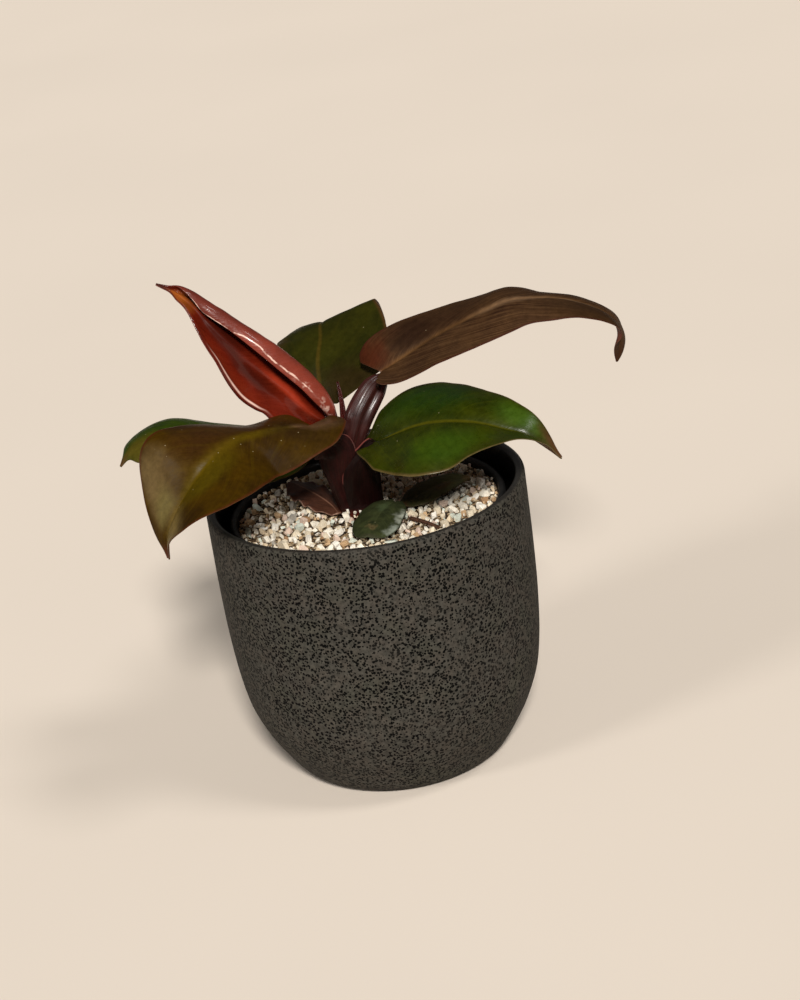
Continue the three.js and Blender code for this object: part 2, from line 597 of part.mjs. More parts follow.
// The grit: a mounded disc with angular pebbles sunk into its top, more than half buried
function gritBody() {
  const random = randomStream(SEED);
  const foot = SOIL_TOP + FIT_GAP;
  const radius = nurseryInnerRadius(foot) - FIT_GAP;
  const profile = [[0, foot], [radius, foot]];
  for (let i = GRIT_RINGS; i >= 0; i -= 1) {
    profile.push([(radius * i) / GRIT_RINGS, GRIT_TOP]);
  }
  const disc = lathe(profile, GRIT_SEGMENTS);
  const position = disc.attributes.position;
  for (let i = 0; i < position.count; i += 1) {
    if (position.getZ(i) > foot + 1) {
      const reach = Math.hypot(position.getX(i), position.getY(i));
      const level = gritHeight(position.getX(i), position.getY(i));
      position.setZ(i, reach > radius - 1 ? GRIT_TOP : level);
    }
  }
  let body = toSolid(disc);
  const golden = Math.PI * (3 - Math.sqrt(5));
  for (let i = 0; i < PEBBLE_COUNT; i += 1) {
    const size = THREE.MathUtils.lerp(PEBBLE_RADIUS[0], PEBBLE_RADIUS[1], random() ** 2);
    const reach = (radius - size - PEBBLE_CLEAR_OF_RIM) * Math.sqrt((i + 0.5) / PEBBLE_COUNT);
    const x = reach * Math.cos(golden * i) + PEBBLE_STRAY * (random() - 0.5);
    const y = reach * Math.sin(golden * i) + PEBBLE_STRAY * (random() - 0.5);
    const turn = new THREE.Euler(Math.PI * random(), Math.PI * random(), Math.PI * random());
    const flatY = THREE.MathUtils.lerp(PEBBLE_FLATTEST.y, 1, random());
    const flatZ = THREE.MathUtils.lerp(PEBBLE_FLATTEST.z, 1, random());
    const clear = Math.hypot(x - CROWN_CENTRE.x, y - CROWN_CENTRE.y) - CROWN_RADIUS;
    if (clear > PEBBLE_CLEAR_OF_STEM) {
      const pebble = new THREE.OctahedronGeometry(size, 0).scale(1, flatY, flatZ);
      pebble.applyMatrix4(new THREE.Matrix4().makeRotationFromEuler(turn));
      pebble.translate(x, y, gritHeight(x, y) - PEBBLE_SINK * size);
      body = body.add(toSolid(pebble));
    }
  }
  return body.subtract(stemHole);
}

// The ring of ground round the neck: the stalks only flare out above it
const COLLAR_TOP = 117.2;
const COLLAR_RADIUS = 30;
// Radius and height of the neck's shoulder as it narrows between the stalks
const NECK_SHOULDER = [[CROWN_RADIUS, 121], [8.4, 128], [6.5, 134], [0, 138]];

function collar() {
  return toSolid(lathe([
    [CROWN_RADIUS, CROWN_FOOT], [COLLAR_RADIUS, CROWN_FOOT], [COLLAR_RADIUS, COLLAR_TOP],
    [CROWN_RADIUS, COLLAR_TOP], [CROWN_RADIUS, CROWN_FOOT],
  ], COLLAR_SEGMENTS).translate(CROWN_CENTRE.x, CROWN_CENTRE.y, 0));
}

// The crown: a short buried neck, the stalks that clasp it and a young spear, grown as one
function crownBody() {
  const neck = lathe([[0, CROWN_FOOT], [CROWN_RADIUS, CROWN_FOOT], ...NECK_SHOULDER], COLLAR_SEGMENTS);
  let body = toSolid(neck.translate(CROWN_CENTRE.x, CROWN_CENTRE.y, 0));
  STALKS.forEach((stalk) => {
    body = body.add(toSolid(stalkGeometry(stalk, STALK_RINGS, STALK_SIDES)));
  });
  return body.subtract(collar());
}

const group = new THREE.Group();
group.name = "potted_philodendron";

function addPiece(name, geometry, finish) {
  const material = new THREE.MeshStandardMaterial({ ...FINISHES[finish], metalness: 0 });
  const mesh = new THREE.Mesh(geometry, material);
  mesh.name = name;
  group.add(mesh);
}

addPiece("planter", planterGeometry(), "stoneware");
addPiece("nursery_pot", nurseryPotGeometry(), "blackPlastic");
addPiece("potting_mix", pottingMixGeometry(), "soil");

let crown = crownBody();
for (const [name, leaf] of Object.entries(LEAVES)) {
  const columns = leaf.columns ?? BLADE_COLUMNS;
  addPiece(name, bladeGeometry(leaf, BLADE_ROWS, columns), leaf.finish);
  crown = crown.subtract(toSolid(bladeGeometry(leaf, BLADE_ROWS, columns, BLADE_GAP)));
}

let grit = gritBody();
for (const [name, leaf] of Object.entries(LOW_LEAVES)) {
  addPiece(name, bladeGeometry(leaf, SMALL_BLADE_ROWS, SMALL_BLADE_COLUMNS), leaf.finish);
  const grown = toSolid(bladeGeometry(leaf, SMALL_BLADE_ROWS, SMALL_BLADE_COLUMNS, FIT_GAP));
  grit = grit.subtract(grown);
  crown = crown.subtract(grown);
}

function twigGeometry(grow) {
  const across = [[0, TWIG.radius + grow], [1, TWIG.radius * TWIG.tipShare + grow]];
  const stalk = { path: TWIG.path, face: [0, 0, 1], width: across, depth: across };
  return stalkGeometry(stalk, TWIG_RINGS, TWIG_SIDES);
}

addPiece("twig", twigGeometry(0), "dryBrown");
grit = grit.subtract(toSolid(twigGeometry(FIT_GAP)));

// Trimming may leave loose crumbs, so the crown is the largest body that remains
const crownBodies = crown.decompose().sort((a, b) => b.volume() - a.volume());
addPiece("crown", toGeometry(crownBodies[0]), "wine");
addPiece("grit", toGeometry(grit), "grit");

export default group;
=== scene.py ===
import math
import random

import bpy
import numpy as np
from mathutils import Euler, Matrix, Vector, noise


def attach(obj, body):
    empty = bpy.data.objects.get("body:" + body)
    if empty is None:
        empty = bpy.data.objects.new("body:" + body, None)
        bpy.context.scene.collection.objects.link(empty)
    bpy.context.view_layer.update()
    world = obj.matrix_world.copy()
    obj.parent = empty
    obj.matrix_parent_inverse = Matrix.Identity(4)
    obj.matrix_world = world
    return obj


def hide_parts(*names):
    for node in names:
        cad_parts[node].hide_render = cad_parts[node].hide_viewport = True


bl_info = {
    "name": "Potted Red Philodendron",
    "version": (1, 0, 0),
    "blender": (4, 5, 0),
    "location": "3D View > Sidebar > Plant",
    "description": "Models the leaves, stalks, grit and pots of a young red philodendron",
    "category": "Add Mesh",
}

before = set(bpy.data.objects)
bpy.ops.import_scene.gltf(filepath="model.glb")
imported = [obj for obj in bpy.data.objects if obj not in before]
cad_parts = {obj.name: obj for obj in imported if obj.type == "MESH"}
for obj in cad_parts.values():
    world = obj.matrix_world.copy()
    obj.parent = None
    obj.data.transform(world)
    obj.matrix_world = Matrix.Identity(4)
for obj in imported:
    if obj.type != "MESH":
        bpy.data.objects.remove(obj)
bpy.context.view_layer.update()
MM = 0.001


def linear(colour):
    """Scene-linear RGBA of an sRGB hex colour."""
    channels = [int(colour[i:i + 2], 16) / 255 for i in (1, 3, 5)]
    return (*[c / 12.92 if c <= 0.04045 else ((c + 0.055) / 1.055) ** 2.4 for c in channels], 1.0)


# The leaves' shapes, in millimetres, as in the CAD source.
# midrib: points from the stalk to the tip. face: the way the upper side looks, at shares of the length.
# width: half width. sweep: degrees that the veins lean towards the tip.
# left and right: each half's (fold at the midrib, curl across the width), in degrees.
# right_scale: the right half's width against the left's. ridge: height of the left half's shoulder.
LEAVES = {
    "leaf_long_right": {
        "midrib": [
            (13.5, 0, 173.5), (19.5, 0, 176), (31, 0, 182), (42, -2, 187.5), (57, -4, 193.5),
            (68.5, -5, 197.5), (79.5, -6, 197.5), (94, -8, 195.5), (107.9, -9, 188.5), (113.8, -9, 180),
            (111, -10, 166),
        ],
        "face": [
            (0, 0.15, -0.4, 0.22), (0.5, 0.66, -0.25, 0.78), (0.85, 0.41, -0.12, 0.71),
            (0.93, 0.7, -0.6, 0.4), (1, 0.7, -0.7, 0.2),
        ],
        "width": [
            (0, 12), (0.03, 17), (0.08, 19), (0.18, 18), (0.3, 19), (0.55, 18.5), (0.8, 11), (0.9, 6.4),
            (0.95, 4), (1, 0.4),
        ],
        "right_scale": [(0, 0.72), (0.1, 0.8), (0.25, 1.04), (1, 0.96)],
        "sweep": [(0, -41), (0.05, -33), (0.12, -21), (0.3, 9), (0.6, 36), (1, 45)],
        "left": ([(0, -23), (0.12, -8), (0.5, -8), (1, 8)], [(0, -25), (0.5, -29), (1, -8)]),
        "right": ([(0, 48), (0.12, 35), (0.5, 5), (1, 8)], [(0, 22), (0.5, -26), (1, -6)]),
    },
    "leaf_front_right": {
        "midrib": [
            (8, -15.5, 149), (12.5, -18, 151), (23.5, -22, 155.5), (32.5, -26, 157.5), (42, -30, 158),
            (52, -33, 156.5), (62, -36, 153), (70, -38, 150), (81.5, -38, 138.5),
        ],
        "face": [(0, -0.26, -0.37, 0.54), (0.5, 0.58, -0.55, 0.61), (1, 0.53, -0.32, 0.96)],
        "width": [(0, 7.5), (0.05, 11), (0.12, 19), (0.35, 28), (0.6, 20), (0.85, 7), (0.95, 2.4), (1, 0.8)],
        "right_scale": [(0, 1.3), (0.1, 1.08), (0.25, 1.08), (1, 0.98)],
        "sweep": [(0, -67), (0.1, -29), (0.3, -9), (0.6, -7), (1, 19)],
        "left": ([(0, -1), (0.15, -6), (0.5, 0), (0.9, 30), (1, 5)], [(0, -6), (0.5, -24), (1, 9)]),
        "right": ([(0, 14), (0.15, 18), (0.5, 4), (0.9, 38), (1, 5)], [(0, 5), (0.5, -12), (1, 12)]),
    },
    "leaf_front_left": {
        "midrib": [
            (-20, -22, 162), (-21, -23.5, 163), (-28, -27, 165), (-38, -31, 166), (-46.5, -35, 167),
            (-54, -40, 165), (-60.5, -45, 161), (-69, -49.5, 153.5), (-75.5, -52, 145.5), (-80.5, -53, 137),
            (-82, -52, 126),
        ],
        "face": [
            (0, -0.15, -0.18, 0.96), (0.25, 0.14, -0.35, 0.85), (0.5, -0.08, -0.54, 0.55),
            (0.75, -0.74, -0.55, 0.19), (1, -0.67, -0.41, 0.3),
        ],
        "width": [
            (0, 17), (0.04, 19), (0.1, 21.5), (0.2, 22), (0.35, 23.5), (0.6, 27.8), (0.85, 8.5), (0.95, 3),
            (1, 0.8),
        ],
        "right_scale": [(0, 0.5), (0.1, 0.64), (0.25, 1.02), (1, 1.12)],
        "sweep": [(0, -62), (0.035, -62), (0.07, -47), (0.2, -33), (0.45, -4), (0.7, 10), (0.9, 30), (1, 20)],
        "left": (
            [(0, 20), (0.12, -4), (0.3, -10), (0.6, 26), (0.9, 24), (1, 8)],
            [(0, 8), (0.5, -17), (1, 8)]),
        "right": (
            [(0, -6), (0.12, -2), (0.3, -23), (0.6, 16), (0.9, 14), (1, 6)],
            [(0, -10), (0.5, -28), (1, 3)]),
    },
    "leaf_back_left": {
        "midrib": [
            (-24, 5.5, 144.5), (-34, 7, 146.5), (-45, 9, 148.5), (-61.5, 11, 153), (-75.5, 11, 157),
            (-87, 10, 156.5), (-95.5, 8, 153), (-100.5, 6, 146.5),
        ],
        "face": [
            (0, 0, -0.42, 0.83), (0.4, 0.07, -0.42, 0.79), (0.8, -0.51, -0.37, 0.8), (1, -0.7, -0.55, 0.46),
        ],
        "width": [(0, 8), (0.1, 17), (0.35, 24), (0.6, 21), (0.83, 11), (0.94, 2.5), (1, 0.5)],
        "sweep": [(0, -50), (0.12, -10), (0.4, 12), (0.7, 24), (1, 42)],
        "left": ([(0, 1), (0.3, -15), (0.6, -11), (1, -6)], [(0, -11), (0.5, -19), (1, -13.5)]),
        "right": ([(0, 0), (0.3, -20), (0.6, -15), (1, -3)], [(0, -10.5), (0.5, -38), (1, -15)]),
    },
    "leaf_back": {
        "midrib": [
            (-10.5, 14, 157.5), (-12.5, 19, 165.5), (-12, 27, 173.5), (-9.5, 37, 179.5), (-9, 49, 182),
            (-5.5, 63, 176.5), (0, 79, 162), (3, 92, 140),
        ],
        "face": [(0, -0.13, -1, 0.23), (0.4, -0.26, -0.25, 0.76), (0.7, 0.1, 0.21, 0.8), (1, -0.3, 0.8, 0.5)],
        "width": [
            (0, 3.5), (0.05, 12), (0.12, 26), (0.35, 25.5), (0.6, 23.5), (0.83, 11), (0.94, 3), (1, 0.5),
        ],
        "right_scale": [
            (0, 1.4), (0.05, 1.62), (0.09, 1.42), (0.14, 1.24), (0.5, 1.06), (0.7, 0.98), (1, 0.8),
        ],
        "sweep": [(0, -24), (0.12, -1), (0.4, 28), (0.7, 25), (1, 40)],
        "left": ([(0, -2), (0.3, 1), (0.6, 17), (1, 0)], [(0, -13), (0.5, -28), (1, -10)]),
        "right": ([(0, 20), (0.3, -9), (0.6, 16), (1, 0)], [(0, 0), (0.5, -8), (1, -12)]),
    },
    "leaf_new_red": {
        "midrib": [
            (-11.5, -1, 157.9), (-17.5, -1, 167.4), (-22.5, 0, 175.4), (-34, 0, 188.4), (-41, 1, 195.4),
            (-49.5, 2, 204.4), (-56, 3, 212.9), (-61, 3, 217.9), (-66, 4, 220.4), (-72, 4, 223.9),
        ],
        "face": [(0, 0.24, -0.9, 0.23), (0.5, 0.17, -0.93, 0.21), (1, 0.2, -0.92, 0.23)],
        "width": [
            (0, 8.5), (0.05, 15), (0.15, 19.5), (0.35, 21), (0.6, 17.5), (0.75, 12), (0.87, 6.6), (0.91, 3),
            (0.94, 1.2), (1, 0.4),
        ],
        "right_scale": [(0, 1.08), (0.35, 1), (0.6, 0.92), (0.75, 1.06), (0.9, 1.1), (1, 1)],
        "sweep": [(0, -46), (0.06, -22), (0.15, 11), (0.4, 7), (0.7, 11), (1, 15)],
        "ridge": [(0, 1.5), (0.15, 2.8), (0.5, 2.5), (0.8, 1), (1, 0)],
        "left": ([(0, 8), (0.3, 8), (0.6, 37), (0.88, 44), (1, 10)], [(0, -3), (0.5, 11), (1, 24)]),
        "right": (
            [(0, -22), (0.3, -10), (0.6, -14), (0.85, 8), (1, 3)],
            [(0, 226), (0.5, 208), (0.75, 206), (0.86, 150), (0.94, 40), (1, 0)]),
    },
}

LOW_LEAVES = {
    "small_leaf_front": {
        "midrib": [(12, -13, 120.2), (8, -19, 121), (4, -26.5, 120.4), (1, -33.5, 118.8), (-1.5, -39, 117)],
        "face": [(0, 0.1, -0.3, 1), (1, -0.1, -0.2, 1)],
        "width": [(0, 3), (0.25, 9), (0.6, 11), (0.86, 8), (0.96, 4.5), (1, 1.5)],
        "sweep": [(0, -30), (0.5, 8), (1, 10)],
        "left": ([(0, 8), (1, -6)], [(0, -12), (1, -22)]),
        "right": ([(0, -4), (1, -10)], [(0, -16), (1, -20)]),
    },
    "small_leaf_right": {
        "midrib": [(45, 3, 119.5), (38, 1.5, 120.3), (30, -1.5, 119.8), (22, -5.5, 118.4), (15, -9.5, 116.4)],
        "face": [(0, 0, -0.25, 1), (1, 0, -0.25, 1)],
        "width": [(0, 1.2), (0.3, 6.5), (0.6, 7.8), (0.85, 5), (1, 0.8)],
        "sweep": [(0, 5), (1, 30)],
        "left": ([(0, 5), (1, 5)], [(0, -20), (1, -20)]),
        "right": ([(0, 2), (1, 2)], [(0, -15), (1, -15)]),
    },
    "dry_bract": {
        "midrib": [
            (-12.6, -7, 116.6), (-15.5, -1, 118.6), (-20, 6.5, 120), (-26, 14.5, 121.4), (-32, 22, 122),
        ],
        "face": [(0, 0.4, -0.6, 0.8), (1, 0.3, -0.5, 0.9)],
        "width": [(0, 3), (0.3, 8.5), (0.65, 9), (0.9, 4), (1, 0.9)],
        "sweep": [(0, 0), (1, 30)],
        "left": ([(0, -35), (0.85, -25), (1, -4)], [(0, 20), (0.5, 45), (1, 10)]),
        "right": ([(0, -30), (0.85, -25), (1, -4)], [(0, 10), (0.5, 30), (1, 10)]),
    },
}

# Cross section of the shoulder and the hollow beside it: place and reach as shares of the half width
SHOULDER_PLACE, SHOULDER_REACH = 0.25, 0.15
HOLLOW_PLACE, HOLLOW_REACH, HOLLOW_DEPTH = 0.62, 0.22, 0.55

# How each blade's skin is drawn. Colours are sRGB hex.
# patches: (share of the length, side from -1 to 1, reach along, reach across, colour, strength)
LOOKS = {
    "leaf_long_right": {
        "dark": "#29180e", "light": "#392514", "streak": "#5c432b", "midrib": "#6e4e2c",
        "vein": "#4d351d", "margin": "#3a1512", "tip": "#38200f", "under": "#5a2a20", "veins": 13,
        "lean": 0.5, "vein_strength": 0.12, "streaks": 0.58, "specks": 0.1, "rough": 0.5, "gloss": 0.06,
        "rib": 0.12,
        "patches": [
            (0.03, -0.65, 0.12, 0.95, "#3e1a0b", 0.9), (0.17, -0.45, 0.1, 0.75, "#20120a", 0.85),
            (0.28, -0.4, 0.16, 0.7, "#2a1a0f", 0.6), (0.72, 0.5, 0.26, 0.5, "#2e1f12", 0.7),
            (0.5, 0.0, 0.2, 0.2, "#765c44", 0.6), (0.72, 0.08, 0.14, 0.12, "#7a634c", 0.6),
            (0.74, 0.85, 0.25, 0.4, "#32200f", 0.6), (0.0, 0.05, 0.02, 0.2, "#a88472", 0.7),
        ],
    },
    "leaf_front_right": {
        "dark": "#1d2402", "light": "#2d3301", "streak": "#353d02", "midrib": "#4e4905",
        "vein": "#3b3f04", "margin": "#5d4a2c", "tip": "#55351f", "veins": 9, "specks": 0.35,
        "rough": 0.3, "gloss": 0.3, "rib_strength": 0.6,
        "patches": [
            (0.3, -0.6, 0.3, 0.6, "#16330c", 0.6), (0.45, 0.5, 0.3, 0.5, "#2c4404", 0.6),
            (0.74, -0.5, 0.2, 0.6, "#3c5812", 0.6), (0.93, 0.0, 0.1, 1.2, "#4a3a1c", 0.7),
            (0.9, -0.7, 0.12, 0.5, "#4a2c1a", 0.7),
        ],
    },
    "leaf_front_left": {
        "dark": "#291904", "light": "#3b2803", "streak": "#473503", "midrib": "#5c4c0a",
        "vein": "#453503", "margin": "#4a2010", "tip": "#4a2212", "under": "#6a4a32", "veins": 7,
        "vein_strength": 0.3, "streaks": 0.25, "specks": 0.8, "rough": 0.34, "gloss": 0.05, "rib": 0.2,
        # Painted sheen: the pale patches at (0.72, 0.5), (0.84, -0.5), (0.77, 0.38) and (0.68, 0.75). Painted
        # shade: the dark patch at (0.3, -0.7), which damps the sheen over the crease
        "patches": [
            (0.35, 0.5, 0.35, 0.6, "#3c2410", 0.6), (0.58, -0.2, 0.25, 0.35, "#4a3f06", 0.6),
            (0.72, 0.5, 0.2, 0.6, "#57462a", 0.65), (0.12, -0.2, 0.12, 1.2, "#2a1c0d", 0.6),
            (0.3, -0.7, 0.14, 0.5, "#291a06", 0.5), (0.84, -0.5, 0.14, 0.8, "#7a683c", 0.7),
            (0.77, 0.38, 0.12, 0.42, "#665c34", 0.6), (0.02, 0.0, 0.07, 1.2, "#5c4430", 0.75),
            (0.68, 0.75, 0.14, 0.4, "#6a5838", 0.6),
        ],
    },
    "leaf_back_left": {
        "dark": "#243404", "light": "#304004", "streak": "#3b4c06", "midrib": "#4f5c0a",
        "vein": "#40500a", "margin": "#4a341a", "tip": "#4a3018", "veins": 9, "rough": 0.36, "gloss": 0.1,
        "patches": [
            (0.85, -0.3, 0.2, 0.9, "#4c3f12", 0.75), (0.7, -0.9, 0.3, 0.4, "#4c3a14", 0.6),
        ],
    },
    "leaf_back": {
        "dark": "#1e1f05", "light": "#2a2a06", "streak": "#322c07", "midrib": "#4a3a0f",
        "vein": "#322e07", "margin": "#4a3018", "tip": "#4a3018", "veins": 7, "lean": 0.28, "rough": 0.45,
        "gloss": 0.08, "rib_strength": 0.55,
        "patches": [
            (0.06, 0.5, 0.12, 0.9, "#2a1d0d", 0.7), (0.3, -0.9, 0.3, 0.3, "#3a2a10", 0.5),
        ],
    },
    "leaf_new_red": {
        # The midrib colour is painted lighter, to lift the shade in the groove. rim: colour of the painted
        # highlights along the left margin and the roll's crest
        "dark": "#4e1206", "light": "#661a0b", "streak": "#7c2d19", "midrib": "#7a2414",
        "vein": "#5e180a", "margin": "#34100a", "tip": "#3c1810", "under": "#81382b", "veins": 7,
        "lean": 0.25, "vein_strength": 0.12, "streaks": 0.3, "specks": 0.0, "rough": 0.28, "gloss": 0.15,
        "coat": 0.25, "rib": 0.09, "rib_strength": 0.7, "grain": 0.25, "rim": "#e8c4b4",
        # Painted shade: the dark patches at (0.42, -0.5) and (0.62, -0.3), in the hollow beside the shoulder.
        # Painted highlight: the bright patch at (0.22, -0.25), on the shoulder
        "patches": [
            (0.88, -0.5, 0.12, 0.9, "#a05620", 0.9), (0.42, -0.5, 0.28, 0.22, "#40120a", 0.85),
            (0.62, -0.3, 0.22, 0.45, "#3c120a", 0.85), (0.22, -0.25, 0.22, 0.12, "#a83820", 0.6),
            (0.5, -0.85, 0.35, 0.2, "#742814", 0.4),
        ],
    },
    "small_leaf_front": {
        "dark": "#252a18", "light": "#363c22", "streak": "#454b30", "midrib": "#454b2c",
        "vein": "#3e4428", "margin": "#33382a", "tip": "#3a3a2a", "under": "#3a3428", "veins": 7,
        "vein_strength": 0.3, "streaks": 0.3, "specks": 0.3, "rough": 0.55, "gloss": 0.05, "rib": 0.07,
        "cloud": 260.0, "ragged": 3.0,
        "patches": [
            (0.78, 0.1, 0.11, 0.34, "#6e5f3e", 0.7), (0.79, 0.08, 0.05, 0.16, "#3a3420", 0.8),
            (0.4, -1.0, 0.2, 0.55, "#a3a89a", 0.9), (0.75, -0.95, 0.2, 0.45, "#8f968a", 0.8),
            (0.3, 0.1, 0.2, 0.4, "#4c5a3c", 0.5),
        ],
    },
    "small_leaf_right": {
        "dark": "#2e2f1b", "light": "#454623", "streak": "#584b2c", "midrib": "#655635",
        "vein": "#4e4926", "margin": "#3a2a1c", "tip": "#4a3420", "under": "#2c2418", "veins": 6,
        "lean": 0.4, "vein_strength": 0.3, "streaks": 0.4, "specks": 0.3, "rough": 0.5, "gloss": 0.2,
        "rib": 0.07,
        "patches": [
            (0.4, -0.3, 0.2, 0.5, "#4a3018", 0.6), (0.02, 0, 0.15, 1.5, "#6a5434", 0.8),
        ],
    },
    "dry_bract": {
        "dark": "#351f16", "light": "#4b2c21", "streak": "#623d2c", "midrib": "#8a6450",
        "vein": "#573626", "margin": "#b08c78", "tip": "#5a3a30", "under": "#3c211b", "veins": 6,
        "lean": 0.6, "vein_strength": 0.4, "streaks": 0.7, "specks": 0.0, "rough": 0.42, "gloss": 0.3,
        "rib": 0.08, "rib_strength": 0.8,
        "patches": [],
    },
}
# What a look leaves out. cloud is the clouds' scale, ragged the wander of the patches' outlines.
USUAL_LOOK = {
    "under": "#5a3b2c", "lean": 0.3, "vein_strength": 0.2, "streaks": 0.2, "specks": 0.2, "coat": 0.0,
    "rib": 0.05, "rib_strength": 0.5, "grain": 1.0, "cloud": 70.0, "ragged": 1.0,
}
for look in LOOKS.values():
    for key, value in USUAL_LOOK.items():
        look.setdefault(key, value)

# path: points from the crown up to the blade. width and depth: half sizes along the stalk.
# face: the way the broad side looks. channel: its place across, its width and its depth in mm.
STALKS = [
    {
        "path": [
            (-4, -3, 112), (-5, -4, 126), (-5.5, -5, 137.2), (-2.2, -5.2, 146.5), (2, -4.6, 156.6),
            (7.9, -1.6, 164.3), (10.5, 0, 166.9), (13.5, 2, 169.2), (15.4, 3, 171.3),
        ],
        "face": (0.2, -0.9, 0.3),
        "width": [(0, 5), (0.46, 5.2), (0.73, 6.1), (0.87, 5.6), (0.94, 4), (1, 1)],
        "depth": [(0, 4.5), (0.56, 4.4), (0.78, 3.2), (0.94, 1.8), (1, 0.6)],
        "channel": (0.3, 0.2, 1.3), "skin": "petiole",
    },
    {
        "path": [
            (-5, -6, 112), (-8, -7.5, 123), (-9.5, -9, 132), (-9.6, -11, 140), (-9.4, -13, 146),
            (-13, -16, 152), (-16, -18.6, 157), (-17.6, -20, 159.2),
        ],
        "face": (-0.2, -1, 0.2),
        "width": [(0, 4.5), (0.35, 4.6), (0.55, 7), (0.72, 8.6), (0.86, 5), (1, 3)],
        "depth": [(0, 4), (0.5, 3.2), (0.8, 2.4), (1, 1.4)],
        "channel": (0.1, 0.5, 1.1), "skin": "left_sheath", "wing": 0.7,
    },
    {
        "path": [
            (-1, -5, 112), (-1, -7.5, 122), (-0.5, -10.2, 131), (0.5, -12.5, 138.5), (4, -14.5, 145.5),
            (7, -15.5, 148.5),
        ],
        "face": (0.1, -1, 0.1),
        "width": [(0, 8.2), (0.5, 8), (0.72, 6.4), (0.88, 3.6), (1, 2.6)],
        "depth": [(0, 4), (0.6, 3.4), (1, 1.8)],
        "channel": (0, 0.4, 0), "skin": "sheath", "wing": 0.7,
    },
    {
        "path": [
            (-5, -3, 112), (-9, -2.5, 124), (-11, -1, 134), (-14, 2.5, 141), (-19, 4.5, 143.5),
            (-25, 5.6, 144),
        ],
        "face": (-0.2, -0.7, 0.7),
        "width": [(0, 4.5), (0.5, 4), (1, 3)],
        "depth": [(0, 4), (0.5, 3), (1, 1.8)],
        "channel": (0, 0.3, 0.8), "skin": "wine",
    },
    {
        "path": [(-5, -2, 112), (-7.5, -1.4, 129), (-9, -0.2, 145), (-11.2, -0.7, 156.9)],
        "face": (0, -1, 0.1),
        "width": [(0, 4), (0.6, 3.4), (1, 3)],
        "depth": [(0, 4), (0.6, 3), (1, 1.8)],
        "channel": (0, 0.3, 0.8), "skin": "wine",
    },
    {
        "path": [(-3, -1, 112), (-7.5, 1, 127), (-9.5, 7, 143), (-10.5, 13, 156)],
        "face": (0, -1, 0.3),
        "width": [(0, 4.5), (0.6, 4), (1, 3)],
        "depth": [(0, 4), (0.6, 3), (1, 1.8)],
        "channel": (0, 0.3, 0.6), "skin": "wine",
    },
    {
        "path": [(-5, -1, 136), (-4.8, -0.5, 148), (-4.3, 0.5, 157), (-4.2, 2, 164), (-4.7, 4, 170.4)],
        "face": (0, -1, 0.3),
        "width": [(0, 2.4), (0.5, 1.5), (1, 0.4)],
        "depth": [(0, 2.2), (0.5, 1.3), (1, 0.4)],
        "channel": (0.3, 0.2, 0.4), "skin": "spear",
    },
]
# The stalks' skins: name, dark, light, foot and lip colours, the lip's place round the stalk, roughness and
# specular level
STALK_SKINS = {
    "petiole": ("petiole_skin", "#220c0a", "#3c1814", "#3a1512", "#8a4a42", 0.25, 0.38, 0.3),
    "wine": ("wine_petiole", "#2c1114", "#5a2329", "#3c1612", "#7a3a38", 0.25, 0.3, 0.4),
    "sheath": ("dark_sheath", "#0f0504", "#1c0807", "#501c12", "#84463f", 0.263, 0.42, 0.16),
    "left_sheath": ("left_sheath", "#150807", "#31100e", "#501c12", "#8c534c", 0.75, 0.42, 0.16),
    "spear": ("red_spear", "#260907", "#541410", "#5c1a14", "#7a3028", 0.25, 0.25, 0.6),
}
# Lengthwise ribs of a stalk: their number and their height
STALK_RIBS, STALK_RIB_HEIGHT = 14, 0.1
# Faces along and round a stalk
STALK_RINGS, STALK_SIDES = 60, 48
CROWN_CENTRE = (-2.5, -4)
# The neck's profile, as (radius, height), before it is squashed along each axis
NECK = [(0, 96), (9.4, 96), (9.4, 121), (8.4, 128), (6.5, 134), (0, 138)]
NECK_SQUASH = (0.96, 0.74, 1, 1)

TWIG_PATH = [(17, -25, 116.4), (22, -31, 116.8), (28, -38, 116.1)]
TWIG_RADIUS = 0.9
TWIG_RINGS, TWIG_SIDES = 30, 20

# Relief of a blade, in mm. Places along and across it are shares of its length and half width.
GROOVE_REACH, RIB_REACH = 1.2, 1.5
EDGE_START, EDGE_THINNING = 0.8, 0.18
BEAD_PLACE, BEAD_REACH = 0.93, 0.05
TIP_FADE = 0.3
# The side veins' course: the share across, raised to this power, leans them
VEIN_ARCH = 1.35
# Size and height of the broad and of the fine unevenness
UNEVENNESS = [(14.0, 0.1), (4.0, 0.12)]
# Ripples of the margin: their number, and their height on large leaves, low leaves and the bract
RIPPLES = 5.3
LEAF_RIPPLE, LOW_RIPPLE, BRACT_RIPPLE = 0.04, 0.3, 1.1

# Points of a curve's fine line, and how many of them its running mean reaches to each side
PATH_STEPS = 401
EVENING_REACH = 12
# A half blade curls by at least this many radians, which keeps its circle finite
SMALLEST_CURL = 1e-4
# Points nearer than this, in metres, become one
WELD = 1e-5
# Edges flatter than this, in degrees, are shaded smooth
TURNED_ANGLE, STALK_ANGLE = 35, 60

# Faces round each turned body
PLANTER_STEPS, NURSERY_STEPS, NECK_STEPS = 192, 144, 48

# The planter's outer radius as a share of the rim radius, at shares of the height. The rest is in mm.
PLANTER_BELLY = [
    (0.04, 0.706), (0.1, 0.779), (0.18, 0.86), (0.3, 0.938), (0.45, 0.975), (0.62, 0.993), (0.8, 0.999),
]
# Rows up the belly: they lie closer together near the foot, where it bends most
BELLY_ROWS, BELLY_CROWDING = 40, 1.4
FOOT_RADIUS = 41.2
FOOT_EDGE = 1.5
FOOT_RING = 5
FOOT_HOLLOW = 0.8
FLOOR_CORNER = 3
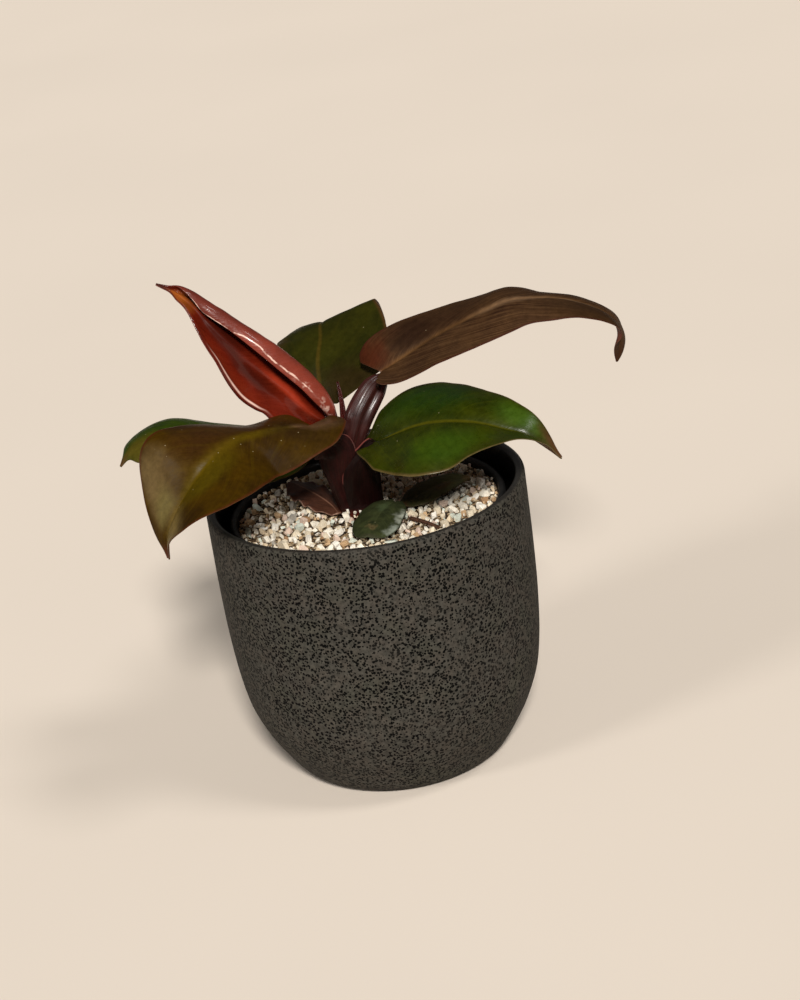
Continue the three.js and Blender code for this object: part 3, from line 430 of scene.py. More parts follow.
# The nursery pot, in mm
NURSERY_FOOT = 8.35
NURSERY_TOP = 116.5
NURSERY_ROWS = (30, 50, 70, 90)
NURSERY_RIM_RADIUS = 58.9
NURSERY_BASE_RADIUS = 43
NURSERY_WALL = 1.6
NURSERY_RIM_DEPTH = 6
NURSERY_RIM_PROUD = 1.2
NURSERY_RIM_EDGE = 0.6
DRAIN_HOLES, DRAIN_RADIUS, DRAIN_CIRCLE = 6, 4, 30

# The grit, in mm: its mound, a heap against the crown, and a bed of fines a little lower
GRIT_FOOT = 107.35
GRIT_TOP = 114.2
GRIT_MOUND = 1.2
GRIT_RELIEF = 0.9
HEAP_HEIGHT, HEAP_REACH = 1.6, 13
BED_RADIUS = 55.6
BED_DEPTH = 1.1
BED_HOLE, BED_HOLE_SQUASH = 9.6, 0.78
STONE_KINDS, STONE_CUTS = 9, 7
# Grains keep this share of their two radii apart, and stay out of the neck's oval
GRAIN_SPACING = 0.74
NECK_CLEARANCE = (9.4, 7.2)
# Grains packed against the crown's foot, given one by one: x, y, radius and tone
FOOT_GRAINS = [
    (-8.5, -10, 1.3, 0.7), (-5.5, -11.2, 1, 0.05), (-3, -12, 1.3, 0.65), (0.5, -11.8, 1, 0.3),
    (3.2, -11.6, 1.2, 0.1), (6.4, -9.8, 1.2, 0.7),
]
# The stones' colours by their tone, from 0 to 1
GRAIN_TONES = [
    (0.0, "#f4eddc"), (0.24, "#e9dcc2"), (0.4, "#e2ceae"), (0.5, "#d3dacc"), (0.6, "#faf5e8"),
    (0.76, "#e2c9b6"), (0.86, "#c9a880"), (0.93, "#9a7856"), (0.96, "#a8a398"), (0.985, "#6d5846"),
]
FINES_TONES = [(0.0, "#4a3826"), (0.4, "#2c2118"), (0.6, "#8a6f4e"), (0.8, "#b8a484")]

# Camera and lights, in metres
CAMERA_TARGET = Vector((0.0139, 0, 0.115))
SENSOR_WIDTH = 36.0
LIGHT_TARGET = Vector((0, 0, 0.14))
# Name, place, spread in degrees, share of the key light's strength, colour
LIGHTS = [
    ("key_light", (0.1, -1.6, 1.35), 9, 1.0, "#fffaf4"),
    ("left_light", (-1.7, -1.06, 1.16), 13, 0.25, "#fffcf8"),
    ("right_light", (1.05, -0.63, 2.1), 14, 0.2, "#fffcf8"),
]
WORLD_STRENGTH = 0.09
FLOOR_SIZE = 16


# The settings that a user would change
class PlanterSettings(bpy.types.PropertyGroup):
    height: bpy.props.FloatProperty(
        name="Height", description="Foot to lip of the planter", default=0.124, unit="LENGTH")
    rim_radius: bpy.props.FloatProperty(
        name="Rim radius", description="Outer radius at the lip", default=0.068, unit="LENGTH")
    wall: bpy.props.FloatProperty(
        name="Wall", description="Thickness of the planter's wall", default=0.0043, unit="LENGTH")
    floor: bpy.props.FloatProperty(
        name="Floor", description="Height of the planter's inside floor", default=0.008, unit="LENGTH")
    clay: bpy.props.FloatVectorProperty(
        name="Clay", description="Colour of the fired body", size=4, subtype="COLOR",
        default=linear("#3d3b36"))
    speck: bpy.props.FloatVectorProperty(
        name="Speck", description="Colour of the iron specks", size=4, subtype="COLOR",
        default=linear("#020202"))


class LeafSettings(bpy.types.PropertyGroup):
    rows: bpy.props.IntProperty(
        name="Rows", description="Faces along a large blade", default=104, min=20, max=200)
    columns: bpy.props.IntProperty(
        name="Columns", description="Faces across a large blade", default=44, min=8, max=80)
    thickness: bpy.props.FloatProperty(
        name="Thickness", description="Thickness of a blade at its midrib", default=0.0007, unit="LENGTH")
    groove: bpy.props.FloatProperty(
        name="Groove", description="Depth of the midrib's groove", default=0.0005, unit="LENGTH")
    rib: bpy.props.FloatProperty(
        name="Rib", description="Height of the rib under a blade", default=0.0009, unit="LENGTH")
    bead: bpy.props.FloatProperty(
        name="Bead", description="Height of the new leaf's rounded margin", default=0.0007, unit="LENGTH")
    pleat: bpy.props.FloatProperty(
        name="Pleat", description="Swell of the skin between two side veins", default=0.00005, unit="LENGTH")


class GritSettings(bpy.types.PropertyGroup):
    smallest: bpy.props.FloatProperty(
        name="Smallest", description="Radius of the finest grain", default=0.001, unit="LENGTH")
    largest: bpy.props.FloatProperty(
        name="Largest", description="Radius of the coarsest grain", default=0.003, unit="LENGTH")
    seed: bpy.props.IntProperty(
        name="Seed", description="Start of the grains' random places", default=7, min=0)


class StageSettings(bpy.types.PropertyGroup):
    elevation: bpy.props.FloatProperty(
        name="Elevation", description="Camera's height above the horizon", default=math.radians(22.3),
        subtype="ANGLE")
    roll: bpy.props.FloatProperty(
        name="Roll", description="Camera's turn about its own axis", default=math.radians(8.5),
        subtype="ANGLE")
    distance: bpy.props.FloatProperty(
        name="Distance", description="Camera to the point it looks at", default=1.1, unit="LENGTH")
    lens: bpy.props.FloatProperty(
        name="Lens", description="Focal length of the camera in millimetres", default=93.34, subtype="NONE")
    floor: bpy.props.FloatVectorProperty(
        name="Floor", description="Colour of the floor", size=4, subtype="COLOR",
        default=linear("#e4d9cc"))
    key: bpy.props.FloatProperty(
        name="Key light", description="Strength of the broad light above the front", default=3.4)


def add_node(tree, kind, *fills, stops=None, **settings):
    """Adds a shader node with its settings. fills go into its open sockets in order, or by name from a dict:
    a number, a colour, another node (its first open output) or a socket. None leaves a socket as it is."""
    node = tree.nodes.new("ShaderNode" + kind)
    for name, value in settings.items():
        setattr(node, name, value)
    sockets = [socket for socket in node.inputs if socket.enabled]
    pairs = []
    for i, fill in enumerate(fills):
        if isinstance(fill, dict):
            pairs += [(next(s for s in sockets if s.name == name), value) for name, value in fill.items()]
        elif fill is not None:
            pairs.append((sockets[i], fill))
    for socket, value in pairs:
        if isinstance(value, bpy.types.Node):
            value = next(output for output in value.outputs if output.enabled)
        if isinstance(value, bpy.types.NodeSocket):
            tree.links.new(value, socket)
        else:
            socket.default_value = value
    if stops:
        elements = node.color_ramp.elements
        elements.remove(elements[1])
        for i, (place, colour) in enumerate(stops):
            element = elements[0] if i == 0 else elements.new(place)
            element.position = place
            element.color = linear(colour)
    return node


def noisy(tree, place, scale, detail=2.0, rough=0.5):
    """Noise at a place, its scale in cells per metre where the place is in metres."""
    return add_node(tree, "TexNoise", place, scale, detail, rough)


def calc(tree, operation, *values):
    """A maths node on one to three values."""
    return add_node(tree, "Math", *values, operation=operation)


def vector(tree, operation, *values):
    """A vector maths node."""
    return add_node(tree, "VectorMath", *values, operation=operation)


def product(tree, value, *others):
    """Several values multiplied."""
    for other in others:
        value = calc(tree, "MULTIPLY", value, other)
    return value


def ramp(tree, value, low, high, start, end):
    """Runs straight from start to end while a value runs from low to high."""
    return add_node(tree, "MapRange", value, low, high, start, end)


def soft_ramp(tree, value, low, high, start, end):
    """A ramp that eases in and out."""
    return add_node(tree, "MapRange", value, low, high, start, end, interpolation_type="SMOOTHSTEP")


def blend(tree, share, first, second):
    """Mixes two colours: sRGB hex texts, scene-linear colours or sockets."""
    first, second = [linear(c) if isinstance(c, str) else c for c in (first, second)]
    return add_node(tree, "Mix", share, first, second, data_type="RGBA")


def shaded(tree, colour, shade):
    """A colour multiplied by a grey."""
    return add_node(tree, "Mix", 1.0, colour, shade, data_type="RGBA", blend_type="MULTIPLY")


def cells_at(tree, place, scale):
    """Cells all over a material: the distance from a cell's centre, and the cell's own random value."""
    cells = add_node(tree, "TexVoronoi", place, scale)
    return cells.outputs["Distance"], add_node(tree, "SeparateXYZ", cells.outputs["Color"])


def new_material(name):
    """An empty node material, its tree and the piece's own coordinates, in metres."""
    material = bpy.data.materials.new(name)
    material.use_nodes = True
    tree = material.node_tree
    tree.nodes.clear()
    return material, tree, add_node(tree, "TexCoord").outputs["Object"]


def finish_material(
        material, colour, roughness, height, depth, ior=1.5, gloss=0.5, coat=0.0, coat_rough=0.03):
    """Ends a material in a Principled surface, bumped by depth in metres. gloss is its specular level."""
    tree = material.node_tree
    bump = add_node(tree, "Bump", {"Strength": 1.0, "Distance": depth, "Height": height})
    surface = add_node(tree, "BsdfPrincipled", {
        "Base Color": colour, "Roughness": roughness, "Normal": bump, "IOR": ior, "Specular IOR Level": gloss,
        "Coat Weight": coat, "Coat Roughness": coat_rough})
    add_node(tree, "OutputMaterial", surface)
    return material


def blade_place(tree):
    """A blade's own coordinates: along from 0 to 1, side from -1 to 1, and reach, side without its sign."""
    split = add_node(tree, "SeparateXYZ", add_node(tree, "TexCoord").outputs["UV"])
    side = calc(tree, "MULTIPLY_ADD", split.outputs["X"], 2.0, -1.0)
    return split.outputs["Y"], side, calc(tree, "ABSOLUTE", side)


def patched(tree, colour, look, along, side, cloud):
    """Lays a look's patches over a blade's colour. Their outlines wander with the cloud."""
    ragged = look["ragged"]
    flat = add_node(tree, "CombineXYZ", along, side)
    drift = vector(tree, "MULTIPLY", cloud.outputs["Color"], (0.12 * ragged, 0.25 * ragged, 0.0))
    drifted = vector(tree, "ADD", flat, drift)
    for share, across, reach_along, reach_across, patch, strength in look["patches"]:
        moved = vector(tree, "SUBTRACT", drifted, (share + 0.06 * ragged, across + 0.12 * ragged, 0.0))
        scaled = vector(tree, "DIVIDE", moved, (reach_along, reach_across, 1.0))
        distance = vector(tree, "LENGTH", scaled).outputs["Value"]
        colour = blend(tree, soft_ramp(tree, distance, 0.2, 1.0, strength, 0.0), colour, patch)
    return colour


# Fresh leaf: pigment under a clear waxy skin, satin, with paler veins and a dark thin margin
def leaf_material(name, look):
    material, tree, place = new_material(name)
    along, side, reach = blade_place(tree)
    cloud = noisy(tree, place, look["cloud"], 3.0, 0.55)
    mottle = noisy(tree, place, 420.0, 3.0, 0.65)
    # Side veins arch from the midrib to the margin: one phase step is one vein
    arch = calc(tree, "POWER", reach, VEIN_ARCH)
    lean = calc(tree, "MULTIPLY_ADD", arch, -look["lean"], along)
    phase = calc(tree, "MULTIPLY_ADD", cloud, 0.03, lean)
    crest = calc(tree, "COSINE", calc(tree, "MULTIPLY", phase, look["veins"] * math.tau))
    line = soft_ramp(tree, crest, 0.82, 1.0, 0.0, 1.0)
    inner = ramp(tree, reach, 0.02, 0.2, 0.0, look["vein_strength"])
    outer = ramp(tree, reach, 0.6, 0.95, 1.0, 0.0)
    # Fine fibres run with the side veins
    stretched = vector(tree, "MULTIPLY", add_node(tree, "CombineXYZ", phase, reach, side), (130.0, 3.0, 1.0))
    fibres = noisy(tree, stretched, 1.0)
    fibre = ramp(tree, fibres, 0.42, 0.68, 0.0, look["streaks"])
    colour = blend(tree, ramp(tree, cloud, 0.35, 0.65, 0.0, 1.0), look["dark"], look["light"])
    colour = blend(tree, fibre, colour, look["streak"])
    colour = blend(tree, product(tree, inner, outer, line), colour, look["vein"])
    rib = soft_ramp(tree, reach, 0.01, look["rib"], look["rib_strength"], 0.0)
    rib_fade = ramp(tree, along, 0.5, 0.95, 1.0, 0.2)
    colour = blend(tree, product(tree, rib, rib_fade), colour, look["midrib"])
    colour = patched(tree, colour, look, along, side, cloud)
    colour = blend(tree, soft_ramp(tree, along, 0.9, 0.99, 0.0, 0.9), colour, look["tip"])
    colour = blend(tree, soft_ramp(tree, reach, 0.93, 1.0, 0.0, 0.8), colour, look["margin"])
    if "rim" in look:
        # Painted highlight: a pale line just inside the young leaf's left margin, broken here and there
        line = product(
            tree, soft_ramp(tree, side, -0.955, -0.93, 0.0, 1.0),
            soft_ramp(tree, side, -0.92, -0.89, 1.0, 0.0), soft_ramp(tree, along, 0.12, 0.3, 0.0, 0.9),
            soft_ramp(tree, along, 0.5, 0.66, 1.0, 0.0), ramp(tree, cloud, 0.35, 0.5, 0.4, 1.0))
        colour = blend(tree, line, colour, look["rim"])
    # Pale mineral specks, about 0.3 mm across, here and there
    distance, pick = cells_at(tree, place, 430.0)
    few = calc(tree, "LESS_THAN", pick, 0.2 * look["specks"])
    dot = ramp(tree, distance, 0.04, 0.12, 0.6, 0.0)
    colour = blend(tree, product(tree, few, dot), colour, "#b8aa88")
    grain = look["grain"]
    colour = shaded(tree, colour, ramp(tree, mottle, 0.3, 0.7, 1 - 0.18 * grain, 1 + 0.16 * grain))
    rough = ramp(tree, mottle, 0.3, 0.7, look["rough"] - 0.05, look["rough"] + 0.07)
    relief = calc(tree, "MULTIPLY_ADD", fibres, 0.6, mottle)
    return finish_material(
        material, colour, rough, relief, 0.00008 * grain, 1.45, look["gloss"], look["coat"], 0.1)


# Back of a leaf: the same tissue without the wax, paler, redder and nearly matte, with raised veins
def leaf_back_material(name, look):
    material, tree, place = new_material(name)
    along, side, reach = blade_place(tree)
    cloud = noisy(tree, place, 90.0, 3.0, 0.55)
    lean = calc(tree, "MULTIPLY_ADD", reach, -look["lean"], along)
    stretched = vector(tree, "MULTIPLY", add_node(tree, "CombineXYZ", lean, reach, side), (90.0, 2.5, 1.0))
    fibres = noisy(tree, stretched, 1.0)
    colour = blend(tree, ramp(tree, fibres, 0.35, 0.7, 0.0, 0.45), look["under"], look["streak"])
    colour = blend(tree, soft_ramp(tree, reach, 0.03, 0.09, 0.7, 0.0), colour, look["midrib"])
    colour = shaded(tree, colour, ramp(tree, cloud, 0.3, 0.7, 0.75, 1.2))
    if "rim" in look:
        # The roll darkens toward the tip. A painted highlight, a pale line, runs along its crest, broken
        # where the skin is wrinkled
        colour = shaded(tree, colour, ramp(tree, along, 0.35, 0.7, 1.0, 0.6))
        crumple = noisy(tree, place, 260.0, 2.0, 0.6)
        shifted = calc(tree, "MULTIPLY_ADD", cloud, 0.2, side)
        course = ramp(tree, along, 0.5, 0.62, 0.99, 1.085)
        off = calc(tree, "ABSOLUTE", calc(tree, "SUBTRACT", shifted, course))
        line = product(
            tree, soft_ramp(tree, off, 0.008, 0.022, 1.0, 0.0), ramp(tree, crumple, 0.4, 0.56, 0.05, 0.85),
            ramp(tree, along, 0.06, 0.14, 0.0, 1.0), ramp(tree, along, 0.84, 0.9, 1.0, 0.0))
        # Small painted glints where the wrinkles bunch up beside the crest, near the leaf's foot
        glint = product(
            tree, ramp(tree, crumple, 0.54, 0.62, 0.0, 0.6), ramp(tree, off, 0.02, 0.12, 1.0, 0.0),
            ramp(tree, along, 0.14, 0.28, 1.0, 0.0))
        colour = blend(tree, calc(tree, "MAXIMUM", line, glint), colour, look["rim"])
        fibres = calc(tree, "MULTIPLY_ADD", crumple, 2.0, fibres)
    return finish_material(
        material, colour, look["rough"] + 0.1, fibres, 0.00012, 1.45, 0.25, look["coat"], 0.1)


# Stalk skin: smooth wet-looking epidermis over wine-red pigment, with fine lengthwise streaks
def stalk_material(name, dark, light, foot, edge, lip_place, roughness, gloss):
    material, tree, place = new_material(name)
    spread = add_node(tree, "TexCoord").outputs["UV"]
    streaks = noisy(tree, vector(tree, "MULTIPLY", spread, (70.0, 2.5, 1.0)), 1.0, 3.0, 0.6)
    cloud = noisy(tree, place, 150.0, 3.0, 0.6)
    tone = ramp(tree, calc(tree, "ADD", cloud, streaks), 0.75, 1.3, 0.0, 1.0)
    colour = blend(tree, tone, dark, light)
    height = add_node(tree, "SeparateXYZ", place).outputs["Z"]
    colour = blend(tree, ramp(tree, height, 0.1155, 0.1185, 0.75, 0.0), colour, foot)
    around = add_node(tree, "SeparateXYZ", spread)
    offset = calc(tree, "ABSOLUTE", calc(tree, "SUBTRACT", around, lip_place))
    colour = blend(tree, soft_ramp(tree, offset, 0.005, 0.022, 0.8, 0.0), colour, edge)
    rough = ramp(tree, cloud, 0.3, 0.7, roughness - 0.06, roughness + 0.08)
    return finish_material(material, colour, rough, streaks, 0.00015, 1.45, gloss, gloss / 2, 0.15)


# Reduction-fired stoneware: charcoal body, matte, peppered with black iron specks and pin pits
def stoneware_material(clay, speck):
    material, tree, place = new_material("stoneware_speckled")
    warp = noisy(tree, place, 900.0)
    half_mm = (0.0005, 0.0005, 0.0005)
    bent = vector(tree, "ADD", vector(tree, "MULTIPLY", warp.outputs["Color"], half_mm), place)
    # Specks up to 1 mm across, on cells 1.5 and 1 mm wide
    masks = []
    for scale, share, inner, outer in ((680.0, 0.8, 0.36, 0.42), (1000.0, 0.55, 0.35, 0.42)):
        distance, pick = cells_at(tree, bent, scale)
        few = calc(tree, "LESS_THAN", pick, share)
        masks.append(product(tree, few, ramp(tree, distance, inner, outer, 1.0, 0.0)))
    drift = noisy(tree, place, 60.0)
    height = add_node(tree, "SeparateXYZ", place).outputs["Z"]
    specks = product(
        tree, calc(tree, "MAXIMUM", *masks), ramp(tree, drift, 0.3, 0.5, 0.75, 1.0),
        ramp(tree, height, 0.1222, 0.1238, 1.0, 0.5))
    mottle = noisy(tree, place, 500.0, 4.0, 0.65)
    hue = noisy(tree, place, 190.0)
    colour = blend(tree, ramp(tree, hue, 0.4, 0.62, 0.0, 0.6), clay, "#413c36")
    colour = blend(tree, ramp(tree, drift, 0.5, 0.7, 0.0, 0.4), colour, "#3b3c33")
    colour = shaded(tree, colour, ramp(tree, mottle, 0.3, 0.7, 0.62, 1.5))
    colour = blend(tree, specks, colour, speck)
    rough = ramp(tree, specks, 0.0, 1.0, 0.8, 0.6)
    relief = calc(tree, "MULTIPLY_ADD", specks, -1.2, mottle)
    return finish_material(material, colour, rough, relief, 0.00022, 1.5, 0.06)


# Black liner glaze inside the planter: smooth, glossy, with a faint orange-peel
def liner_material():
    material, tree, place = new_material("black_liner_glaze")
    peel = noisy(tree, place, 450.0)
    colour = blend(tree, ramp(tree, peel, 0.3, 0.7, 0.0, 1.0), "#211f1c", "#302d29")
    return finish_material(material, colour, 0.3, peel, 0.00006, 1.5, 0.4)


# Moulded polypropylene: black, satin, dusty and finely scuffed
def nursery_material():
    material, tree, place = new_material("black_polypropylene")
    dust = noisy(tree, place, 240.0, 4.0, 0.7)
    scuff = noisy(tree, place, 1500.0)
    colour = blend(tree, ramp(tree, dust, 0.5, 0.75, 0.0, 0.4), "#0b0b0b", "#2c2924")
    rough = ramp(tree, dust, 0.3, 0.7, 0.38, 0.62)
    return finish_material(material, colour, rough, scuff, 0.00005, 1.49)


# Damp peat and bark mix: dark brown crumb with straw-coloured fibres
def potting_mix_material():
    material, tree, place = new_material("peat_and_bark")
    distance, pick = cells_at(tree, place, 420.0)
    fine = noisy(tree, place, 900.0, 4.0, 0.7)
    colour = blend(tree, pick, "#1d140d", "#4a3522")
    colour = blend(tree, ramp(tree, fine, 0.62, 0.7, 0.0, 0.6), colour, "#7a6240")
    relief = calc(tree, "SUBTRACT", distance, fine)
    return finish_material(material, colour, 0.95, relief, 0.0008, 1.4, 0.2)


# Crushed quartz and limestone grit: dry, matte, mostly white and cream with a few rusty and mint grains
def grit_material():
    material, tree, place = new_material("crushed_stone_grit")
    tone = add_node(tree, "Attribute", attribute_name="grain_tone")
    base = add_node(tree, "ValToRGB", tone.outputs["Fac"], stops=GRAIN_TONES)
    base.color_ramp.interpolation = "CONSTANT"
    stain = noisy(tree, place, 600.0, 4.0, 0.7)
    colour = blend(tree, ramp(tree, stain, 0.52, 0.75, 0.0, 0.4), base, "#b08c60")
    speckle = noisy(tree, place, 2500.0, 2.0, 0.6)
    colour = shaded(tree, colour, ramp(tree, speckle, 0.3, 0.7, 0.8, 1.12))
    # Painted shadow of the front right leaf: the stones right of the crown are darker
    painted_shadow_distance = vector(tree, "DISTANCE", place, (0.035, -0.002, 0.113)).outputs["Value"]
    colour = shaded(tree, colour, ramp(tree, painted_shadow_distance, 0.008, 0.018, 0.55, 1.0))
    return finish_material(material, colour, 0.78, speckle, 0.0002, 1.54, 0.35)


# Fines between the grains: sand and dark crumbs in shade
def fines_material():
    material, tree, place = new_material("grit_fines")
    distance, pick = cells_at(tree, place, 800.0)
    base = add_node(tree, "ValToRGB", pick, stops=FINES_TONES)
    return finish_material(material, base, 0.9, distance, 0.0006, 1.5, 0.3)


# Dead bark and dry membrane: brown, fibrous, matte
def dry_material(name, dark, light):
    material, tree, place = new_material(name)
    fibre = noisy(tree, place, 900.0, 4.0, 0.7)
    colour = blend(tree, ramp(tree, fibre, 0.35, 0.65, 0.0, 1.0), dark, light)
    return finish_material(material, colour, 0.75, fibre, 0.0004, 1.45, 0.3)


# Painted board under the pot: matte, nearly even
def board_material(paint):
    material, tree, place = new_material("painted_board")
    brushed = noisy(tree, place, 3.0)
    colour = shaded(tree, paint, ramp(tree, brushed, 0.3, 0.7, 0.985, 1.015))
    return finish_material(material, colour, 0.9, brushed, 0.0001, gloss=0.2)


def keyed(share, stations):
    """Smooth value at an array of shares between (share, value) stations, with no overshoot."""
    at = np.array([station[0] for station in stations], float)
    value = np.array([station[1] for station in stations], float)
    span = np.diff(at)
    slope = np.diff(value) / span
    tangent = np.zeros(len(at))
    tangent[0], tangent[-1] = slope[0], slope[-1]
    for i in range(1, len(at) - 1):
        if slope[i - 1] * slope[i] > 0:
            tangent[i] = 2 * slope[i - 1] * slope[i] / (slope[i - 1] + slope[i])
    i = np.clip(np.searchsorted(at, share, side="right") - 1, 0, len(at) - 2)
    t = np.clip((share - at[i]) / span[i], 0, 1)
    rise = tangent[i] * span[i] * t * (1 - t) ** 2 + tangent[i + 1] * span[i] * t * t * (t - 1)
    return value[i] * (1 + 2 * t) * (1 - t) ** 2 + value[i + 1] * t * t * (3 - 2 * t) + rise


def path_at(points, share):
    """Points and directions at shares of the length of a smooth curve through the points."""
    knots = np.array(points, float)
    knots = np.vstack([2 * knots[0] - knots[1], knots, 2 * knots[-1] - knots[-2]])
    last = len(points) - 1
    step = np.linspace(0, last, PATH_STEPS)
    i = np.minimum(step.astype(int), last - 1)
    t = (step - i)[:, None]
    a, b, c, d = knots[i], knots[i + 1], knots[i + 2], knots[i + 3]
    line = 0.5 * (
        2 * b + (c - a) * t + (2 * a - 5 * b + 4 * c - d) * t * t + (3 * b - a - 3 * c + d) * t ** 3)
    # A running mean, taken three times, evens out the bends at the given points
    reach = EVENING_REACH
    for _ in range(3):
        head, tail = 2 * line[0] - line[reach:0:-1], 2 * line[-1] - line[-2:-reach - 2:-1]
        sums = np.cumsum(np.vstack([np.zeros(3), head, line, tail]), axis=0)
        line = (sums[2 * reach + 1:] - sums[:-2 * reach - 1]) / (2 * reach + 1)
    length = np.concatenate([[0], np.cumsum(np.linalg.norm(np.diff(line, axis=0), axis=1))])
    heading = np.gradient(line, axis=0)
    at = share * length[-1]
    point, forward = [
        np.stack([np.interp(at, length, values[:, k]) for k in range(3)], axis=1)
        for values in (line, heading)]
    return point, forward / np.linalg.norm(forward, axis=1)[:, None]


def frame_at(points, face, share):
    """Points, forward, up and side directions along a curve; up keeps to the face direction."""
    point, forward = path_at(points, share)
    up = face - np.sum(face * forward, axis=1)[:, None] * forward
    up /= np.linalg.norm(up, axis=1)[:, None]
    return point, forward, up, np.cross(forward, up)


def shoulder_height(reach):
    """Cross section of the swollen shoulder beside the new leaf's midrib, with a hollow beyond it."""
    swell = np.exp(-(((reach - SHOULDER_PLACE) / SHOULDER_REACH) ** 2))
    return swell - HOLLOW_DEPTH * np.exp(-(((reach - HOLLOW_PLACE) / HOLLOW_REACH) ** 2))


def blade_points(leaf, u, v):
    """The blade's middle surface in mm: u from stalk to tip, v from the left margin (-1) to the right (1)."""
    face = np.stack([keyed(u, [(s[0], s[k]) for s in leaf["face"]]) for k in (1, 2, 3)], axis=1)
    point, forward, up, side = frame_at(leaf["midrib"], face, u)
    width = keyed(u, leaf["width"])
    sweep = np.radians(keyed(u, leaf["sweep"]))
    left = v < 0
    fold, curl = [
        np.radians(np.where(left, keyed(u, leaf["left"][k]), keyed(u, leaf["right"][k]))) for k in (0, 1)]
    curl = np.where(np.abs(curl) < SMALLEST_CURL, SMALLEST_CURL, curl)
    if "right_scale" in leaf:
        width = np.where(left, width, width * keyed(u, leaf["right_scale"]))
    turned = fold + curl * np.abs(v)
    out = width * (np.sin(turned) - np.sin(fold)) / curl
    rise = width * (np.cos(fold) - np.cos(turned)) / curl
    if "ridge" in leaf:
        swollen = keyed(u, leaf["ridge"]) * (shoulder_height(np.abs(v)) - shoulder_height(0.0))
        rise = rise + np.where(left, swollen, 0)
    across = side * (np.sign(v) * np.cos(sweep))[:, None] + forward * np.sin(sweep)[:, None]
    return point + across * out[:, None] + up * rise[:, None], width


def deselect():
    """Leaves nothing selected."""
    bpy.ops.object.select_all(action="DESELECT")


def activate(piece):
    """Makes a piece the only selected and the active object."""
    deselect()
    piece.select_set(True)
    bpy.context.view_layer.objects.active = piece


def apply_modifier(piece, kind, **settings):
    """Adds a modifier, sets it and applies it."""
    activate(piece)
    bpy.ops.object.modifier_add(type=kind)
    modifier = piece.modifiers[-1]
    for name, value in settings.items():
        setattr(modifier, name, value)
    bpy.ops.object.modifier_apply(modifier=modifier.name)


def mesh_points(mesh):
    """The mesh's points as an array."""
    points = np.empty(len(mesh.vertices) * 3)
    mesh.vertices.foreach_get("co", points)
    return points.reshape(-1, 3)


def mesh_normals(mesh):
    """The directions of the mesh's points as an array."""
    normals = np.empty(len(mesh.vertices) * 3, np.float32)
    mesh.vertex_normals.foreach_get("vector", normals)
    return normals.reshape(-1, 3)


def set_points(mesh, points):
    """Moves the mesh's points to the places in an array."""
    mesh.vertices.foreach_set("co", np.asarray(points, np.float32).ravel())
    mesh.update()


def leave_edit(smooth_angle=None):
    """Turns all faces outward, leaves edit mode and smooths the edges flatter than an angle in degrees."""
    bpy.ops.mesh.select_all(action="SELECT")
    bpy.ops.mesh.normals_make_consistent(inside=False)
    bpy.ops.object.mode_set(mode="OBJECT")
    if smooth_angle:
        bpy.ops.object.shade_smooth_by_angle(angle=math.radians(smooth_angle))


def cut_hole(piece, vertices, radius, depth, centre, squash=1):
    """Cuts an upright hole, oval where squash isn't 1, out of a piece. Sizes and centre are in mm."""
    deselect()
    bpy.ops.mesh.primitive_cylinder_add(
        vertices=vertices, radius=radius * MM, depth=depth * MM, scale=(1, squash, 1),
        location=[value * MM for value in centre])
    cutter = bpy.context.object
    apply_modifier(piece, "BOOLEAN", object=cutter, operation="DIFFERENCE", solver="EXACT")
    bpy.data.objects.remove(cutter)


def grid_piece(rows, columns):
    """A new grid with its own UV, and each point's place in it: u along (0 to 1), v across (-1 to 1)."""
    deselect()
    bpy.ops.mesh.primitive_grid_add(x_subdivisions=columns, y_subdivisions=rows, size=2, calc_uvs=True)
    piece = bpy.context.object
    places = mesh_points(piece.data)
    return piece, (places[:, 1] + 1) / 2, places[:, 0]


def finish_piece(piece, name, materials, node):
    """Names a piece, gives it its materials, hangs it under the root body and hides the CAD node it stands
    for.
    """
    piece.name = name
    piece.data.name = name
    for material in materials:
        piece.data.materials.append(material)
    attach(piece, "root")
    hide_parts(node)


